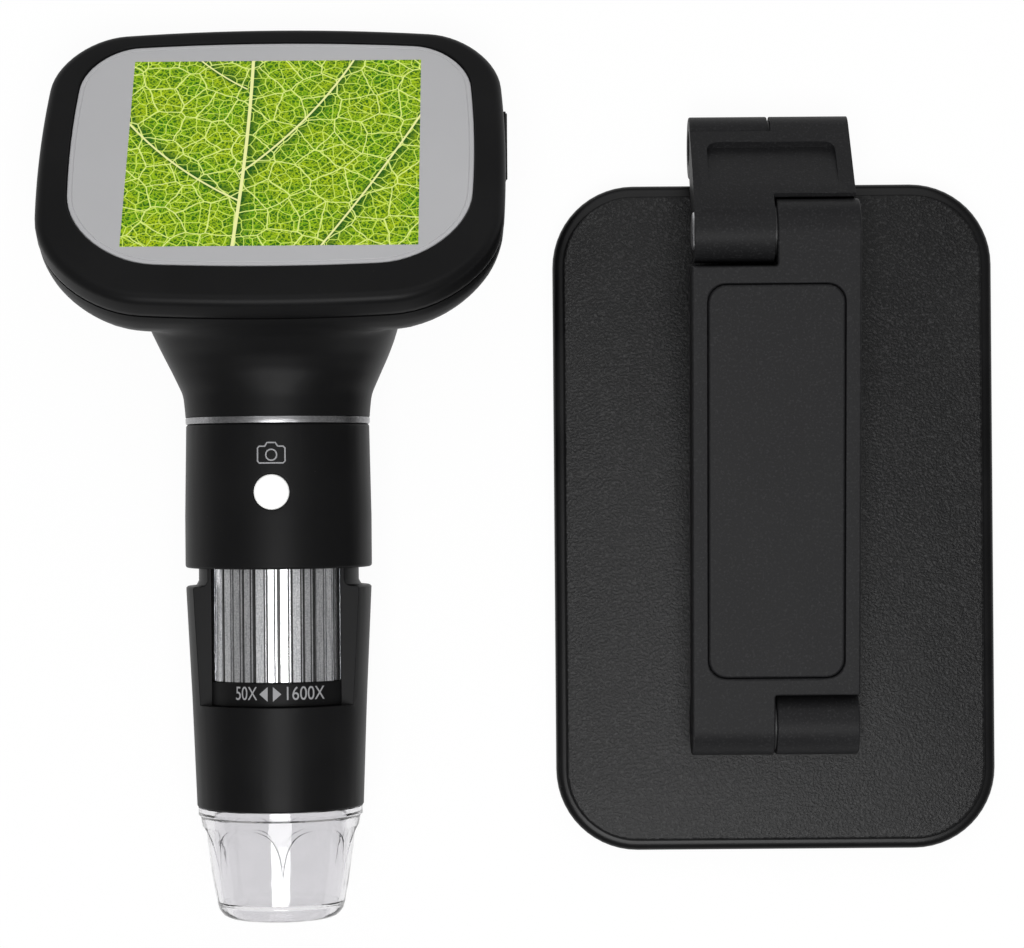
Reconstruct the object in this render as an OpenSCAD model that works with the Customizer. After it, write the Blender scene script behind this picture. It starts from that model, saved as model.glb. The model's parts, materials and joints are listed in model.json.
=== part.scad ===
// Handheld LCD digital microscope and its folding stand, laid flat side by side on a table.
// Millimetres. +Z is up from the table, +Y runs along the barrel towards the screen, +X to the right.

/* [Layout] */
// Distance from the origin to the barrel axis, to the left
scope_offset = 44.8; // [44:0.1:60]
// Distance from the origin to the middle of the stand, to the right
stand_offset = 46.2; // [45:0.1:60]
// How far the middle of the stand plate lies below the middle of the layout
stand_drop = 9.6; // [0:0.1:15]

/* [Barrel] */
// Largest outer radius of the barrel, at the foot of the upper housing
barrel_r = 16.9; // [16.5:0.1:18]
// Outer radius at the top of the upper housing and of the trim ring
collar_r = 16.6; // [16.2:0.1:16.8]
// Outer radius at the bottom of the lower shell
foot_r = 15.1; // [14.8:0.1:16]
// Wall thickness of the moulded barrel shells
barrel_wall = 1.8; // [1.5:0.1:2.1]
// Length of the clear hood that shows below the lower shell
hood_len = 20; // [18:0.5:26]
// Length of the lower shell, from the hood to the waist groove
lower_len = 40; // [38:0.5:44]
// Height of the waist groove between the two shells
groove_h = 3.3; // [2.5:0.1:4]
// Length of the upper housing
upper_len = 25.9; // [24:0.1:30]
// Thickness of the bright trim ring
ring_h = 1.3; // [1:0.1:2]

/* [Focus wheel] */
// Outer radius of the focus wheel over its ribs
wheel_r = 13.45; // [13.3:0.05:13.85]
// Distance from the barrel axis to the flats that bare the wheel
flat_y = 7.8; // [7:0.1:9]
// Height of the scale band below the wheel
band_h = 4.4; // [4:0.1:5]
// Number of rib groups around the wheel
rib_groups = 38; // [30:1:48]
// Depth of the grooves between the ribs
rib_depth = 0.45; // [0.3:0.05:0.6]

/* [Screen head] */
// Width of the screen head
head_w = 83.6; // [80:0.1:86]
// Height of the screen head, measured along its face
head_h = 65.2; // [62:0.1:66]
// Thickness of the screen head
head_t = 15; // [14.8:0.1:15.2]
// Height of the middle of the face above the hood rim, along the barrel
face_rise = 136.3; // [135:0.1:137]
// Distance of the middle of the face in front of the barrel axis
face_out = 10.8; // [10.6:0.1:11]
// Lean of the face back from straight ahead
face_tilt = 36; // [35:0.5:37]
// Thickness of the front shell, from the face to the seam
front_t = 5; // [4.5:0.1:5.5]
// Width of the screen glass
glass_w = 72.4; // [70:0.1:74]
// Height of the screen glass
glass_h = 53; // [51:0.1:54]
// Distance of the glass above the middle of the face
glass_rise = 2.1; // [1.5:0.1:2.5]

/* [Stand] */
// Width of the stand plate
plate_w = 81.4; // [78:0.1:84]
// Length of the stand plate
plate_l = 123.2; // [118:0.1:126]
// Height of the plate's top above the table
plate_top = 6; // [5.8:0.1:6.4]
// Corner radius of the plate
plate_corner = 15; // [12:0.5:18]
// Width of the folding arm
arm_w = 30.4; // [28:0.1:32]
// Length of the arm between its two hinge axes
arm_len = 90.1; // [88:0.1:92]
// Outer radius of the hinge knuckles
knuckle_r = 5.7; // [5.5:0.05:5.7]
// Radius of the hinge pins
pin_r = 1.97; // [1.8:0.01:1.97]
// Length of the link between its two hinge axes
link_len = 22.3; // [22:0.1:22.6]
// Width of the link
link_w = 29.2; // [28:0.1:30]

/* [Hidden] */
$fn = 96;
over = 0.5;                       // how far a cutting shape reaches past the face it cuts
gap = 0.15;                       // moulding gap round loose covers and keys

// Heights along the barrel, from the hood rim
lower_z = hood_len;
groove_z = lower_z + lower_len;
upper_z = groove_z + groove_h;
ring_z = upper_z + upper_len;
neck_z = ring_z + ring_h;
wheel_h = 20.1;
wheel_top = upper_z - 0.1;
band_z = wheel_top - wheel_h - band_h;
axis_h = barrel_r;                // the microscope lies on the back of its barrel

// Barrel fits
grip_end = 9.3;                   // top of the straight stretch of the upper housing, from its foot
spigot_r = 13.2;                  // hood spigot, pushed into the lower shell
wheel_bore = 13.95;               // round the wheel, inside the lower shell
tube_r = 8.6;                     // guide tube outside
slide_r = 7;                      // guide tube inside
carriage_r = 6.95;
carriage_z = lower_z + 12;
carriage_len = 18;
lens_r = 5.55;

// Snapshot button
shot_z = upper_z + 13.7;
shot_r = 3.15;

// Screen head layers, measured back from the face
wall = 1.8;
glass_r = [9.5, 15];              // top and bottom corner radii
head_r = [12, 18];
head_bow = [2, 2.4];              // how far the sides and the top and bottom bow out
glue_ledge = 3.8;                 // ledge that the glass is bonded to
lcd = [58, 50, 2.5];
board_t = 1.2;                     // thickness of every circuit board
board_z = -front_t - 1.6;
post_top = -1.7;                  // where the screw posts leave the inside of the face
post_end = -11.3;
key_z = -8.2;                     // middle of the side keys and sockets
key = [7.4, 2.6];                 // length and width of a side key
key_rise = 0.3;
key_edge = 0.25;                  // bevel round the key's outer face
key_foot = 4.8;                   // from the widest point of the head in to the key's foot
key_mid = glass_rise + 7.9;       // height on the face where the two keys meet
screw_at = [31.4, 18];
post_r = 2.2;
usb = [6, 7.4, 2.6];
usb_y = 0.6;
card = [13, 11.8, 1.8];
card_y = -15;
socket_wall = 0.4;

// Stand heights and places, from the middle of the plate on the table
arm_x = -0.8;                     // middle of the arm
base_y = -37.7;                   // hinge between plate and arm
base_axis_z = 12;
arm_rise = 5.93;                  // slope of the folded arm
link_fall = 42.3;                 // slope of the folded link
tip_y = base_y + arm_len * cos(arm_rise);
tip_z = base_axis_z + arm_len * sin(arm_rise);
bracket_screw_x = [4, 11.5];
half_gap = 0.2;                   // half of the gap between facing knuckles
pin_head = [3.5, 1.35];           // radius and height
foot_at = [28, 49];
foot_h = 1.2;
cover_screw_at = [32, 28];
cover_in = 2.2;                   // from the plate's edge in to the bottom cover's recess
cover_t = 1.4;
arm_t = 8;
panel = [24.6, 71.3, 1];
pocket = [10.8, 15];              // weight-saving pockets under the arm
pocket_pitch = [12.6, 16.8];
thread_r = 3.175;                 // quarter-inch screw of a holder
thread_len = 6.5;

// ---------------------------------------------------------------- frames

// The barrel's own frame: +z from the hood rim to the head, -y out of the front
module lay_scope() {
    translate([-scope_offset, -(face_rise + face_reach()) / 2, axis_h]) rotate([-90, 0, 0]) children();
}

// How far the head reaches above the middle of its face, along the barrel
function face_reach() = (head_h / 2 - 0.25) * cos(face_tilt) - 0.7 * sin(face_tilt);

// The head's own frame: x to the right, y up the face, +z out of the face
module on_head() {
    lay_scope() translate([0, -face_out, face_rise]) rotate([90 - face_tilt, 0, 0]) children();
}

module on_stand() {
    translate([stand_offset, -stand_drop, 0]) children();
}

// Along the arm: x to the right, +y from the plate's hinge to the link, +z out of its top
module on_arm() {
    on_stand() translate([arm_x, base_y, base_axis_z]) rotate([arm_rise, 0, 0]) children();
}

// Along the link: +y from the arm's hinge to the swivel
module on_link() {
    on_stand() translate([arm_x, tip_y, tip_z]) rotate([-link_fall, 0, 0]) children();
}

// ---------------------------------------------------------------- shape helpers

function arc(c, r, from, to, steps) =
    [for (i = [0:steps]) let (a = from + (to - from) * i / steps) [c.x + r * cos(a), c.y + r * sin(a)]];

function between(p, q, steps) = [for (i = [1:steps - 1]) p + (q - p) * i / steps];

// Rounded rectangle whose sides bow out by bow.x and bow.y; r holds the top and bottom corner radii
function pillow(w, h, r, bow, steps = 9) =
    let (a = w / 2 - bow.x, b = h / 2 - bow.y,
         tr = arc([a - r[0], b - r[0]], r[0], 0, 90, steps),
         tl = arc([r[0] - a, b - r[0]], r[0], 90, 180, steps),
         bl = arc([r[1] - a, r[1] - b], r[1], 180, 270, steps),
         br = arc([a - r[1], r[1] - b], r[1], 270, 360, steps),
         raw = concat(tr, between(tr[steps], tl[0], 8), tl, between(tl[steps], bl[0], 6),
                      bl, between(bl[steps], br[0], 8), br, between(br[steps], tr[0], 6)))
    [for (p = raw) [p.x * (1 + bow.x / a * (1 - pow(p.y / b, 2))),
                    p.y * (1 + bow.y / b * (1 - pow(p.x / a, 2)))]];

function at_height(points, z, rise = 0) = [for (p = points) [p.x, p.y + rise, z]];

// Outline of the head, drawn in by inset all round
function head_outline(inset) =
    pillow(head_w - 2 * inset, head_h - 2 * inset, [max(head_r[0] - inset, 4), max(head_r[1] - inset, 6)],
           head_bow);

function glass_outline(inset) =
    pillow(glass_w - 2 * inset, glass_h - 2 * inset, [glass_r[0] - inset, glass_r[1] - inset], [1.6, 1.6]);

function plate_outline(inset) =
    pillow(plate_w - 2 * inset, plate_l - 2 * inset, [plate_corner - inset, plate_corner - inset],
           [0.01, 0.01]);

// Skins a list of rings that have the same number of points; closed joins the last ring to the first
module skin(rings, closed = false) {
    n = len(rings[0]);
    m = len(rings);
    last = closed ? m - 1 : m - 2;
    sides = [for (i = [0:last], j = [0:n - 1], half = [0, 1])
        let (a = i * n + j, b = ((i + 1) % m) * n + j,
             c = ((i + 1) % m) * n + (j + 1) % n, d = i * n + (j + 1) % n)
        half == 0 ? [a, b, c] : [a, c, d]];
    caps = closed ? [] : [[for (j = [0:n - 1]) j], [for (j = [n - 1:-1:0]) (m - 1) * n + j]];
    polyhedron(points = [for (ring = rings, p = ring) p], faces = concat(sides, caps));
}

module tube(outer, inner, h) {
    difference() {
        cylinder(r = outer, h = h);
        translate([0, 0, -over]) cylinder(r = inner, h = h + 2 * over);
    }
}

// Pan-head screw pointing down -z from the underside of its head at z = 0
module screw(head_r, head_h, shank_r, length) {
    difference() {
        cylinder(r = head_r, h = head_h);
        for (a = [0, 90]) rotate([0, 0, a]) translate([-head_r * 0.6, -head_r * 0.13, head_h * 0.4])
            cube([head_r * 1.2, head_r * 0.26, head_h]);
    }
    translate([0, 0, -length]) cylinder(r = shank_r, h = length);
}

// ---------------------------------------------------------------- screen head

module front_shell() {
    post_len = post_top - post_end;
    color("#1a1a1c") on_head() difference() {
        union() {
            skin([
                at_height(head_outline(0.3), -front_t),
                at_height(head_outline(0.1), -front_t + 0.4),
                at_height(head_outline(0), -1.6),
                at_height(head_outline(0.25), -0.7),
                at_height(head_outline(0.8), -0.15),
                at_height(head_outline(1.5), 0),
                at_height(glass_outline(-0.2), 0, glass_rise),
                at_height(glass_outline(-gap), -1, glass_rise),
                at_height(glass_outline(glue_ledge), -1, glass_rise),
                at_height(glass_outline(glue_ledge), -2, glass_rise),
                at_height(head_outline(wall), -2),
                at_height(head_outline(wall), -front_t)
            ], closed = true);
            at_screws() translate([0, 0, post_end]) cylinder(r = post_r, h = post_len);
        }
        at_screws() translate([0, 0, post_end - over]) cylinder(r = 1, h = 8);
    }
}

// The four screws that hold the head together
module at_screws() {
    for (x = [-1, 1], y = [-1, 1]) translate([x * screw_at.x, y * screw_at.y, 0]) children();
}

// Cross-section of the neck at a height above the trim ring: [height, half width, front, back, squareness
// of the front: 1 is round, less is squarer]. The front climbs to the seam of the head
neck_steps = [
    [0, 16.7, 16.7, 16.7, 1], [4, 17.1, 16.8, 16.7, 1], [8, 18.9, 17.5, 16.7, 0.86],
    [11, 20.3, 18.9, 16.6, 0.76], [13.7, 21.4, 21.4, 16.5, 0.67], [16.3, 22.3, 25.3, 16.3, 0.6],
    [21, 23.3, 14.6, 15.4, 0.8], [26, 23.8, 11.2, 13.8, 1], [31, 23.6, 7.6, 11.4, 1],
    [35.5, 22.4, 4.4, 8.4, 1], [39, 20.2, 1.8, 5.4, 1], [41.5, 17.2, 0, 2.8, 1]
];

function bulge(x, power) = sign(x) * pow(abs(x), power);

module neck_slab(step, inset) {
    w = step[1] - inset;
    front = step[2] - inset;
    back = step[3] - inset;
    translate([0, 0, neck_z + step[0]]) linear_extrude(height = 0.01)
        polygon([for (i = [0:47]) let (a = i * 7.5, e = i > 24 ? step[4] : 1)
            [w * bulge(cos(a), e), (back - front) / 2 + (back + front) / 2 * bulge(sin(a), e)]]);
}

module neck(inset) {
    for (i = [0:len(neck_steps) - 2]) hull() {
        neck_slab(neck_steps[i], inset);
        neck_slab(neck_steps[i + 1], inset);
    }
}

// Rear of the head as a solid, drawn in by inset
module rear_body(inset, top) {
    skin([
        at_height(head_outline(8.1 + inset), -head_t + inset),
        at_height(head_outline(5.6 + inset), -head_t + 0.7 + inset),
        at_height(head_outline(3.4 + inset), -head_t + 2 + inset),
        at_height(head_outline(1.8 + inset), -head_t + 3.6 + inset),
        at_height(head_outline(0.7 + inset), -head_t + 5.8 + inset),
        at_height(head_outline(0.1 + inset), -front_t - 0.8),
        at_height(head_outline(0.3 + inset), top)
    ]);
}

module rear_shell() {
    boss_top = post_end - 0.1;
    color("#1a1a1c") difference() {
        union() {
            difference() {
                union() {
                    on_head() rear_body(0, -front_t - 0.15);
                    lay_scope() neck(0);
                }
                on_head() rear_body(wall, -front_t + over);
                lay_scope() neck(wall);
            }
            on_head() at_screws() translate([0, 0, 1 - head_t])
                cylinder(r = 3, h = boss_top + head_t - 1, $fn = 24);
        }
        lay_scope() translate([0, 0, neck_z - over]) cylinder(r = collar_r - wall, h = 3, $fn = 48);
        on_head() {
            translate([head_w / 2 - 5, key_mid - key.x - 1.5 * gap, key_z - key.y / 2 - gap])
                cube([8, 2 * key.x + 3 * gap, key.y + 2 * gap]);
            socket_mouth(usb, usb_y);
            socket_mouth(card, card_y);
            at_screws() translate([0, 0, -head_t - over]) {
                cylinder(r = 1.2, h = 6, $fn = 24);
                cylinder(r = 2.3, h = over + 0.9, $fn = 24);
            }
        }
    }
}

// Mouth of a socket in the left wall of the head
module socket_mouth(size, y) {
    translate([-head_w / 2 - 4, y - gap, key_z - size.z / 2 - gap])
        cube([10, size.y + 2 * gap, size.z + 2 * gap]);
}

module screen_glass() {
    color("#acacaf") on_head() skin([
        at_height(glass_outline(0), -0.95, glass_rise),
        at_height(glass_outline(0), -0.35, glass_rise),
        at_height(glass_outline(0.15), -0.2, glass_rise)
    ]);
}

module lcd_panel() {
    color("#8d9095") on_head() translate([-lcd.x / 2, glass_rise - lcd.y / 2, -2.05 - lcd.z]) cube(lcd);
}

// Board behind the screen, with a wing to the sockets on the left and to the keys on the right
module main_board() {
    middle = [54, 54];
    socket_wing = [30, 24];
    key_wing = [27.3, 14.9];
    chip_h = 0.9;
    // place and size of each chip
    chips = [[[-16, 10], [14, 10]], [[8, 12], [10, 6]], [[6, -14], [7, 8]], [[-18, -15], [9, 5]]];
    color("#1f6b3a") on_head() {
        translate([0, 0, board_z]) linear_extrude(height = board_t) difference() {
            union() {
                polygon(pillow(middle.x, middle.y, [3, 3], [0.01, 0.01], 3));
                translate([-38.5, -15.5]) square(socket_wing);
                translate([8, 0.5]) square(key_wing);
            }
            for (x = [-20, 20], y = [-24, 24]) translate([x, y]) circle(r = 1.1);
        }
        for (chip = chips) translate([chip[0].x, chip[0].y, board_z - chip_h])
            cube([chip[1].x, chip[1].y, chip_h]);
    }
}

// Flat pouch cell with soft edges, behind the board
module battery() {
    size = [48, 36, 4.7];
    edge = [2, 0.7];
    rings = [[edge[0], 0], [0, edge[1]], [0, size.z - edge[1]], [edge[0], size.z]];
    color("#b9bcc2") on_head() translate([0, 0, -13]) skin([for (ring = rings)
        at_height(pillow(size.x - ring[0], size.y - ring[0], [4, 4], [0.5, 0.5], 3), ring[1])]);
}

// Micro-size charging socket in the left wall of the head
module usb_socket() {
    color("#c8c9cc") on_head() translate([-head_w / 2 + 1, usb_y, key_z - usb.z / 2]) socket(usb, 4.5);
}

module card_socket() {
    color("#c8c9cc") on_head() translate([-head_w / 2 + 1.6, card_y, key_z - card.z / 2]) socket(card, 11);
}

// Box of folded sheet metal, open to the left for depth
module socket(size, depth) {
    difference() {
        cube(size);
        translate([-over, socket_wall, socket_wall])
            cube([depth + over, size.y - 2 * socket_wall, size.z - 2 * socket_wall]);
    }
}

module case_screws() {
    color("#5c5c60") on_head() at_screws() translate([0, 0, -head_t + 0.85]) mirror([0, 0, 1])
        screw(2, 0.7, 0.95, 8);
}

// Side key with its foot inside the right wall of the head, from height y on the face
module side_key(y) {
    reach = key_foot + key_rise - key_edge;
    flange = [0.8, 0.7];
    on_head() translate([head_w / 2 - key_foot, y, key_z - key.y / 2]) {
        cube([reach, key.x, key.y]);
        translate([reach, key_edge, key_edge]) cube([key_edge, key.x - 2 * key_edge, key.y - 2 * key_edge]);
        translate([-flange.x, 0, 0]) cube([flange.x, key.x, key.y + flange.y]);
    }
}

module power_button() {
    color("#232326") side_key(key_mid + gap / 2);
}

module mode_button() {
    color("#232326") side_key(key_mid - gap / 2 - key.x);
}

// Switches on the main board, one behind each side key
module key_switches() {
    body = [3.2, 4.4, 2];
    stem = [0.5, 2, 1.2];
    color("#3a3a3e") on_head() for (side = [-1, 1])
        translate([head_w / 2 - key_foot - 5, key_mid + side * 3.6 - body.y / 2, key_z - 0.4]) {
            cube(body);
            translate([body.x, (body.y - stem.y) / 2, (body.z - stem.z) / 2]) cube(stem);
        }
}

// ---------------------------------------------------------------- barrel

module trim_ring() {
    color("#c9cacc") lay_scope() translate([0, 0, ring_z]) rotate_extrude() polygon([
        [collar_r - wall, 0], [collar_r - 0.1, 0], [collar_r + 0.1, 0.2], [collar_r + 0.1, ring_h - 0.2],
        [collar_r - 0.1, ring_h], [collar_r - wall, ring_h]
    ]);
}

module upper_housing() {
    inner = collar_r - barrel_wall;
    color("#1a1a1c") lay_scope() difference() {
        translate([0, 0, upper_z]) rotate_extrude() polygon([
            [inner, 0], [barrel_r - 0.3, 0], [barrel_r, 0.3], [barrel_r, grip_end],
            [collar_r, upper_len - 0.3], [collar_r - 0.3, upper_len], [inner - 0.1, upper_len],
            [inner - 0.1, upper_len + 6], [inner - 1.5, upper_len + 6], [inner - 1.5, upper_len - 2.5],
            [inner, upper_len - 4]
        ]);
        translate([0, 0, shot_z]) rotate([90, 0, 0]) cylinder(r = shot_r + 0.1, h = barrel_r + over);
    }
}

// Flat cap with a shallow dish, a retaining flange and a stem; z is out of the barrel here
module snapshot_button() {
    face = barrel_r + 0.1;
    foot = 12.6;
    dish_r = 24;
    color("#f4f4f2") lay_scope() translate([0, 0, shot_z]) rotate([90, 0, 0]) {
        difference() {
            translate([0, 0, foot]) cylinder(r = shot_r, h = face - foot);
            translate([0, 0, face + dish_r - 0.15]) sphere(r = dish_r);
        }
        translate([0, 0, foot]) cylinder(r = shot_r + 0.9, h = 0.8);
        translate([0, 0, foot - 1]) cylinder(r = 1.2, h = 1.2);
    }
}

module tact_switch() {
    color("#3a3a3e") lay_scope() translate([0, 0, shot_z]) rotate([90, 0, 0]) {
        translate([-3, -3, 7.3]) cube([6, 6, 3]);
        translate([0, 0, 10.2]) cylinder(r = 1.6, h = 0.75);
    }
}

module button_board() {
    side = 16;
    color("#1f6b3a") lay_scope() translate([-side / 2, -7.3, shot_z - side / 2]) cube([side, board_t, side]);
}

module sensor_board() {
    color("#1f6b3a") lay_scope() translate([0, 0, upper_z + 4]) tube(12.5, 1.6, board_t);
}

module image_sensor() {
    side = 8;
    color("#2b2d33") lay_scope() translate([-side / 2, -side / 2, upper_z + 2.9]) cube([side, side, 1.1]);
}

// Flat cable from the sensor board up through the neck to the main board
module ribbon_cable() {
    width = 8;
    thick = [0.35, 0];
    // each point: distance behind the barrel axis, height above the hood rim
    route = [[3, upper_z + 5.2], [3, upper_z + 22], [-1, 100], [-8.6, 110], [-17, 115.2]];
    color("#c98f3c") lay_scope() rotate([90, 0, 90]) translate([0, 0, -width / 2])
        linear_extrude(height = width)
            polygon(concat(route, [for (i = [len(route) - 1:-1:0]) route[i] + thick]));
}

module lower_shell() {
    ledge_r = foot_r + 0.75;
    collar_top = upper_z + 5.5;
    color("#1a1a1c") lay_scope() difference() {
        rotate_extrude() polygon([
            [spigot_r, lower_z], [foot_r - 0.25, lower_z], [foot_r, lower_z + 0.25],
            [ledge_r, lower_z + 20], [barrel_r - 0.1, groove_z - 0.3], [barrel_r - 0.4, groove_z],
            [15.6, groove_z], [14.9, groove_z + 0.25], [14.5, groove_z + 1], [14.5, upper_z + 0.6],
            [14.75, upper_z + 0.9], [14.75, collar_top],
            [12.6, collar_top], [12.6, upper_z], [wheel_bore, upper_z], [wheel_bore, band_z - 0.1],
            [12.9, band_z - 0.1], [12.9, lower_z + 6.4], [spigot_r, lower_z + 6.4]
        ]);
        for (side = [0, 1]) mirror([0, side, 0])
            translate([-barrel_r - over, -barrel_r - over, band_z])
                cube([2 * (barrel_r + over), barrel_r + over - flat_y, upper_z - band_z]);
    }
}

module scale_band() {
    color("#202023") lay_scope() translate([0, 0, band_z]) tube(wheel_bore - 0.05, 12.9, band_h - 0.1);
}

// Ribbed rim, web and hub of the focus wheel
module focus_wheel() {
    step = 360 / rib_groups;
    low = wheel_r - rib_depth;
    hub_r = tube_r + 1.4;
    bore_r = tube_r + 0.05;
    // every group has one broad and one narrow rib, whose widths change round the wheel
    rim = [for (i = [0:rib_groups - 1])
        let (a = i * step, broad = 0.56 + 0.1 * sin(i * 137), slim = 0.1 + 0.03 * cos(i * 101))
        for (p = [[0, low], [0.03, wheel_r], [0.03 + broad, wheel_r], [0.06 + broad, low],
                  [0.12 + broad, low], [0.15 + broad, wheel_r], [0.15 + broad + slim, wheel_r],
                  [0.18 + broad + slim, low]])
            [p[1] * cos(a + p[0] * step), p[1] * sin(a + p[0] * step)]];
    color("#b4b6b9") lay_scope() translate([0, 0, wheel_top - wheel_h]) {
        difference() {
            linear_extrude(height = wheel_h) polygon(rim);
            translate([0, 0, -over]) cylinder(r = 12, h = wheel_h + 2 * over);
        }
        translate([0, 0, wheel_h / 2 - 1]) tube(12.1, bore_r, 2);
        translate([0, 0, 3]) tube(hub_r, bore_r, wheel_h - 6);
    }
}

// Fixed tube that the wheel turns on and the lens slides in
module guide_tube() {
    color("#2c2c30") lay_scope() difference() {
        union() {
            translate([0, 0, lower_z + 7.8]) cylinder(r = tube_r, h = wheel_top - lower_z - 7.8);
            translate([0, 0, band_z - 3.1]) cylinder(r = 12.85, h = 2);
        }
        translate([0, 0, lower_z]) cylinder(r = slide_r, h = wheel_top);
        translate([slide_r - 1, -0.8, band_z + 6.5]) cube([4, 1.6, 11.5]);
    }
}

// Lens barrel that slides in the guide tube, with a follower pin through the tube's slot
module lens_carriage() {
    color("#3a3a3e") lay_scope() translate([0, 0, carriage_z]) {
        difference() {
            cylinder(r = carriage_r, h = carriage_len);
            translate([0, 0, -over]) cylinder(r = lens_r - 0.55, h = carriage_len + 2 * over);
            translate([0, 0, -over]) cylinder(r = lens_r + 0.05, h = 3 + over);
        }
        translate([carriage_r - 1, 0, carriage_len - 3]) rotate([0, 90, 0]) cylinder(r = 0.7, h = 2.5);
    }
}

module objective_lens() {
    dome = 9;
    color("#cfe3ee") lay_scope() translate([0, 0, carriage_z + 0.2]) intersection() {
        cylinder(r = lens_r, h = 2.6);
        translate([0, 0, dome]) sphere(r = dome);
    }
}

module led_board() {
    color("#e9e9e6") lay_scope() translate([0, 0, lower_z + 5.2]) tube(13.1, 5.8, board_t);
}

module leds() {
    count = 8;
    body = [2.8, 2.2, 0.6];
    color("#f6efc4") lay_scope() for (i = [0:count - 1]) rotate([0, 0, (i + 0.5) * 360 / count])
        translate([9.4, 0, lower_z + 4.1]) {
            translate([-body.x / 2, -body.y / 2, 0.5]) cube(body);
            cylinder(r = 0.9, h = body.z);
        }
}

module light_diffuser() {
    color("#eef1f2", 0.6) lay_scope() translate([0, 0, lower_z + 2.6]) tube(13.1, 5.6, 0.9);
}

// Thin tapered hood with a thicker band whose lower edge is cut in arches; its spigot is pushed into
// the lower shell
module clear_hood() {
    band_low = hood_len - 12.6;
    arch_top = hood_len - 3.4;
    arches = 6;
    arch_turn = 5.5;                  // turns the arches so that a rib stands beside the middle
    arch_half_w = 6.3;
    rim_r = 8.9;
    color("#dfe5e8", 0.5) lay_scope() {
        rotate_extrude() polygon([
            [rim_r, 0], [9.8, 0], [10.6, 0.45], [11.3, 1.5], [11.7, 3], [12.25, 6], [12.75, 9.5],
            [13.2, 13], [13.7, 17.6], [14.9, 18.6], [14.9, hood_len - 0.1],
            [spigot_r - 0.05, hood_len - 0.1], [spigot_r - 0.05, hood_len + 2.4], [12, hood_len + 2.4],
            [12, 14], [11.6, 9.5], [11.1, 6], [10.6, 3], [9.9, 2.4], [rim_r, 2.2]
        ]);
        difference() {
            rotate_extrude() polygon([
                [11.9, band_low], [12.45, band_low], [13.2, 10.8], [13.9, 15], [14.5, 18.2], [13, 18.2]
            ]);
            for (i = [0:arches - 1]) rotate([0, 0, i * 360 / arches + arch_turn]) rotate([0, 90, 0])
                linear_extrude(height = 20) polygon(arch(arch_half_w, arch_top - band_low, -band_low));
        }
    }
}

// Flat-topped arch of half width w that rises by h along -x from foot, with its mirror image below the foot
function arch(w, h, foot) = [for (a = [0:7.5:352.5]) let (c = cos(a), s = sin(a))
    [foot - h * sign(s) * pow(abs(s), 0.6), w * sign(c) * pow(abs(c), 0.6)]];

// ---------------------------------------------------------------- stand base

module base_shell() {
    roof = plate_top - 1.8;
    color("#2f2f31") on_stand() difference() {
        union() {
            skin([
                at_height(plate_outline(cover_in), roof),
                at_height(plate_outline(cover_in), foot_h),
                at_height(plate_outline(0.6), foot_h),
                at_height(plate_outline(0), foot_h + 0.6),
                at_height(plate_outline(0), plate_top - 1.5),
                at_height(plate_outline(0.5), plate_top - 0.8),
                at_height(plate_outline(1.5), plate_top - 0.2),
                at_height(plate_outline(2.3), plate_top)
            ]);
            at_cover_screws() translate([0, 0, roof - 1.5]) cylinder(r = 2.4, h = 1.8);
        }
        at_cover_screws() translate([0, 0, roof - 2]) cylinder(r = 0.75, h = 2.8);
        for (x = bracket_screw_x) translate([arm_x + x, base_y, roof - over]) cylinder(r = 1, h = 4);
    }
}

// The four screws of the bottom cover
module at_cover_screws() {
    for (x = [-1, 1], y = [-1, 1]) translate([x * cover_screw_at.x, y * cover_screw_at.y, 0]) children();
}

module base_cover() {
    color("#262628") on_stand() difference() {
        translate([0, 0, foot_h]) linear_extrude(height = cover_t) polygon(plate_outline(cover_in + gap));
        at_cover_screws() {
            translate([0, 0, foot_h - over]) cylinder(r = 1.8, h = over + 0.9);
            translate([0, 0, foot_h]) cylinder(r = 0.9, h = 2);
        }
    }
}

module ballast_plate() {
    size = [56, 78, 1.4];
    color("#8b8d90") on_stand() translate([-size.x / 2, -30, foot_h + cover_t + 0.05]) cube(size);
}

module rubber_feet() {
    color("#161617") on_stand() for (x = [-1, 1], y = [-1, 1])
        translate([x * foot_at.x, y * foot_at.y, 0]) cylinder(r1 = 5, r2 = 5.4, h = foot_h);
}

module base_screws() {
    color("#5c5c60") on_stand() at_cover_screws() translate([0, 0, foot_h + 0.88]) mirror([0, 0, 1])
        screw(1.6, 0.7, 0.7, 2);
}

// Bore for a hinge pin, through knuckles of width w
module pin_bore(w) {
    rotate([0, 90, 0]) translate([0, 0, -w]) cylinder(r = pin_r + 0.03, h = 2 * w);
}

// Sinking for the head of a hinge pin, in the right end of knuckles of width w
module pin_sinking(w) {
    translate([w / 2 - 1, 0, 0]) rotate([0, 90, 0]) cylinder(r = pin_head[0] + 0.2, h = 2);
}

module hinge_bracket() {
    color("#2a2a2c") on_stand() translate([arm_x, 0, 0]) difference() {
        translate([half_gap, base_y, 0]) rotate([90, 0, 90]) linear_extrude(height = arm_w / 2 - half_gap)
            polygon(concat([[-knuckle_r, plate_top], [knuckle_r, plate_top]],
                           arc([0, base_axis_z], knuckle_r, 0, 180, 24)));
        translate([0, base_y, base_axis_z]) {
            pin_bore(arm_w);
            pin_sinking(arm_w);
        }
        for (x = bracket_screw_x) translate([x, base_y, plate_top - over]) cylinder(r = 0.95, h = 3);
    }
}

module bracket_screws() {
    color("#5c5c60") on_stand() for (x = bracket_screw_x)
        translate([arm_x + x, base_y, plate_top - 1.85]) mirror([0, 0, 1]) screw(1.9, 0.9, 0.9, 4);
}

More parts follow.
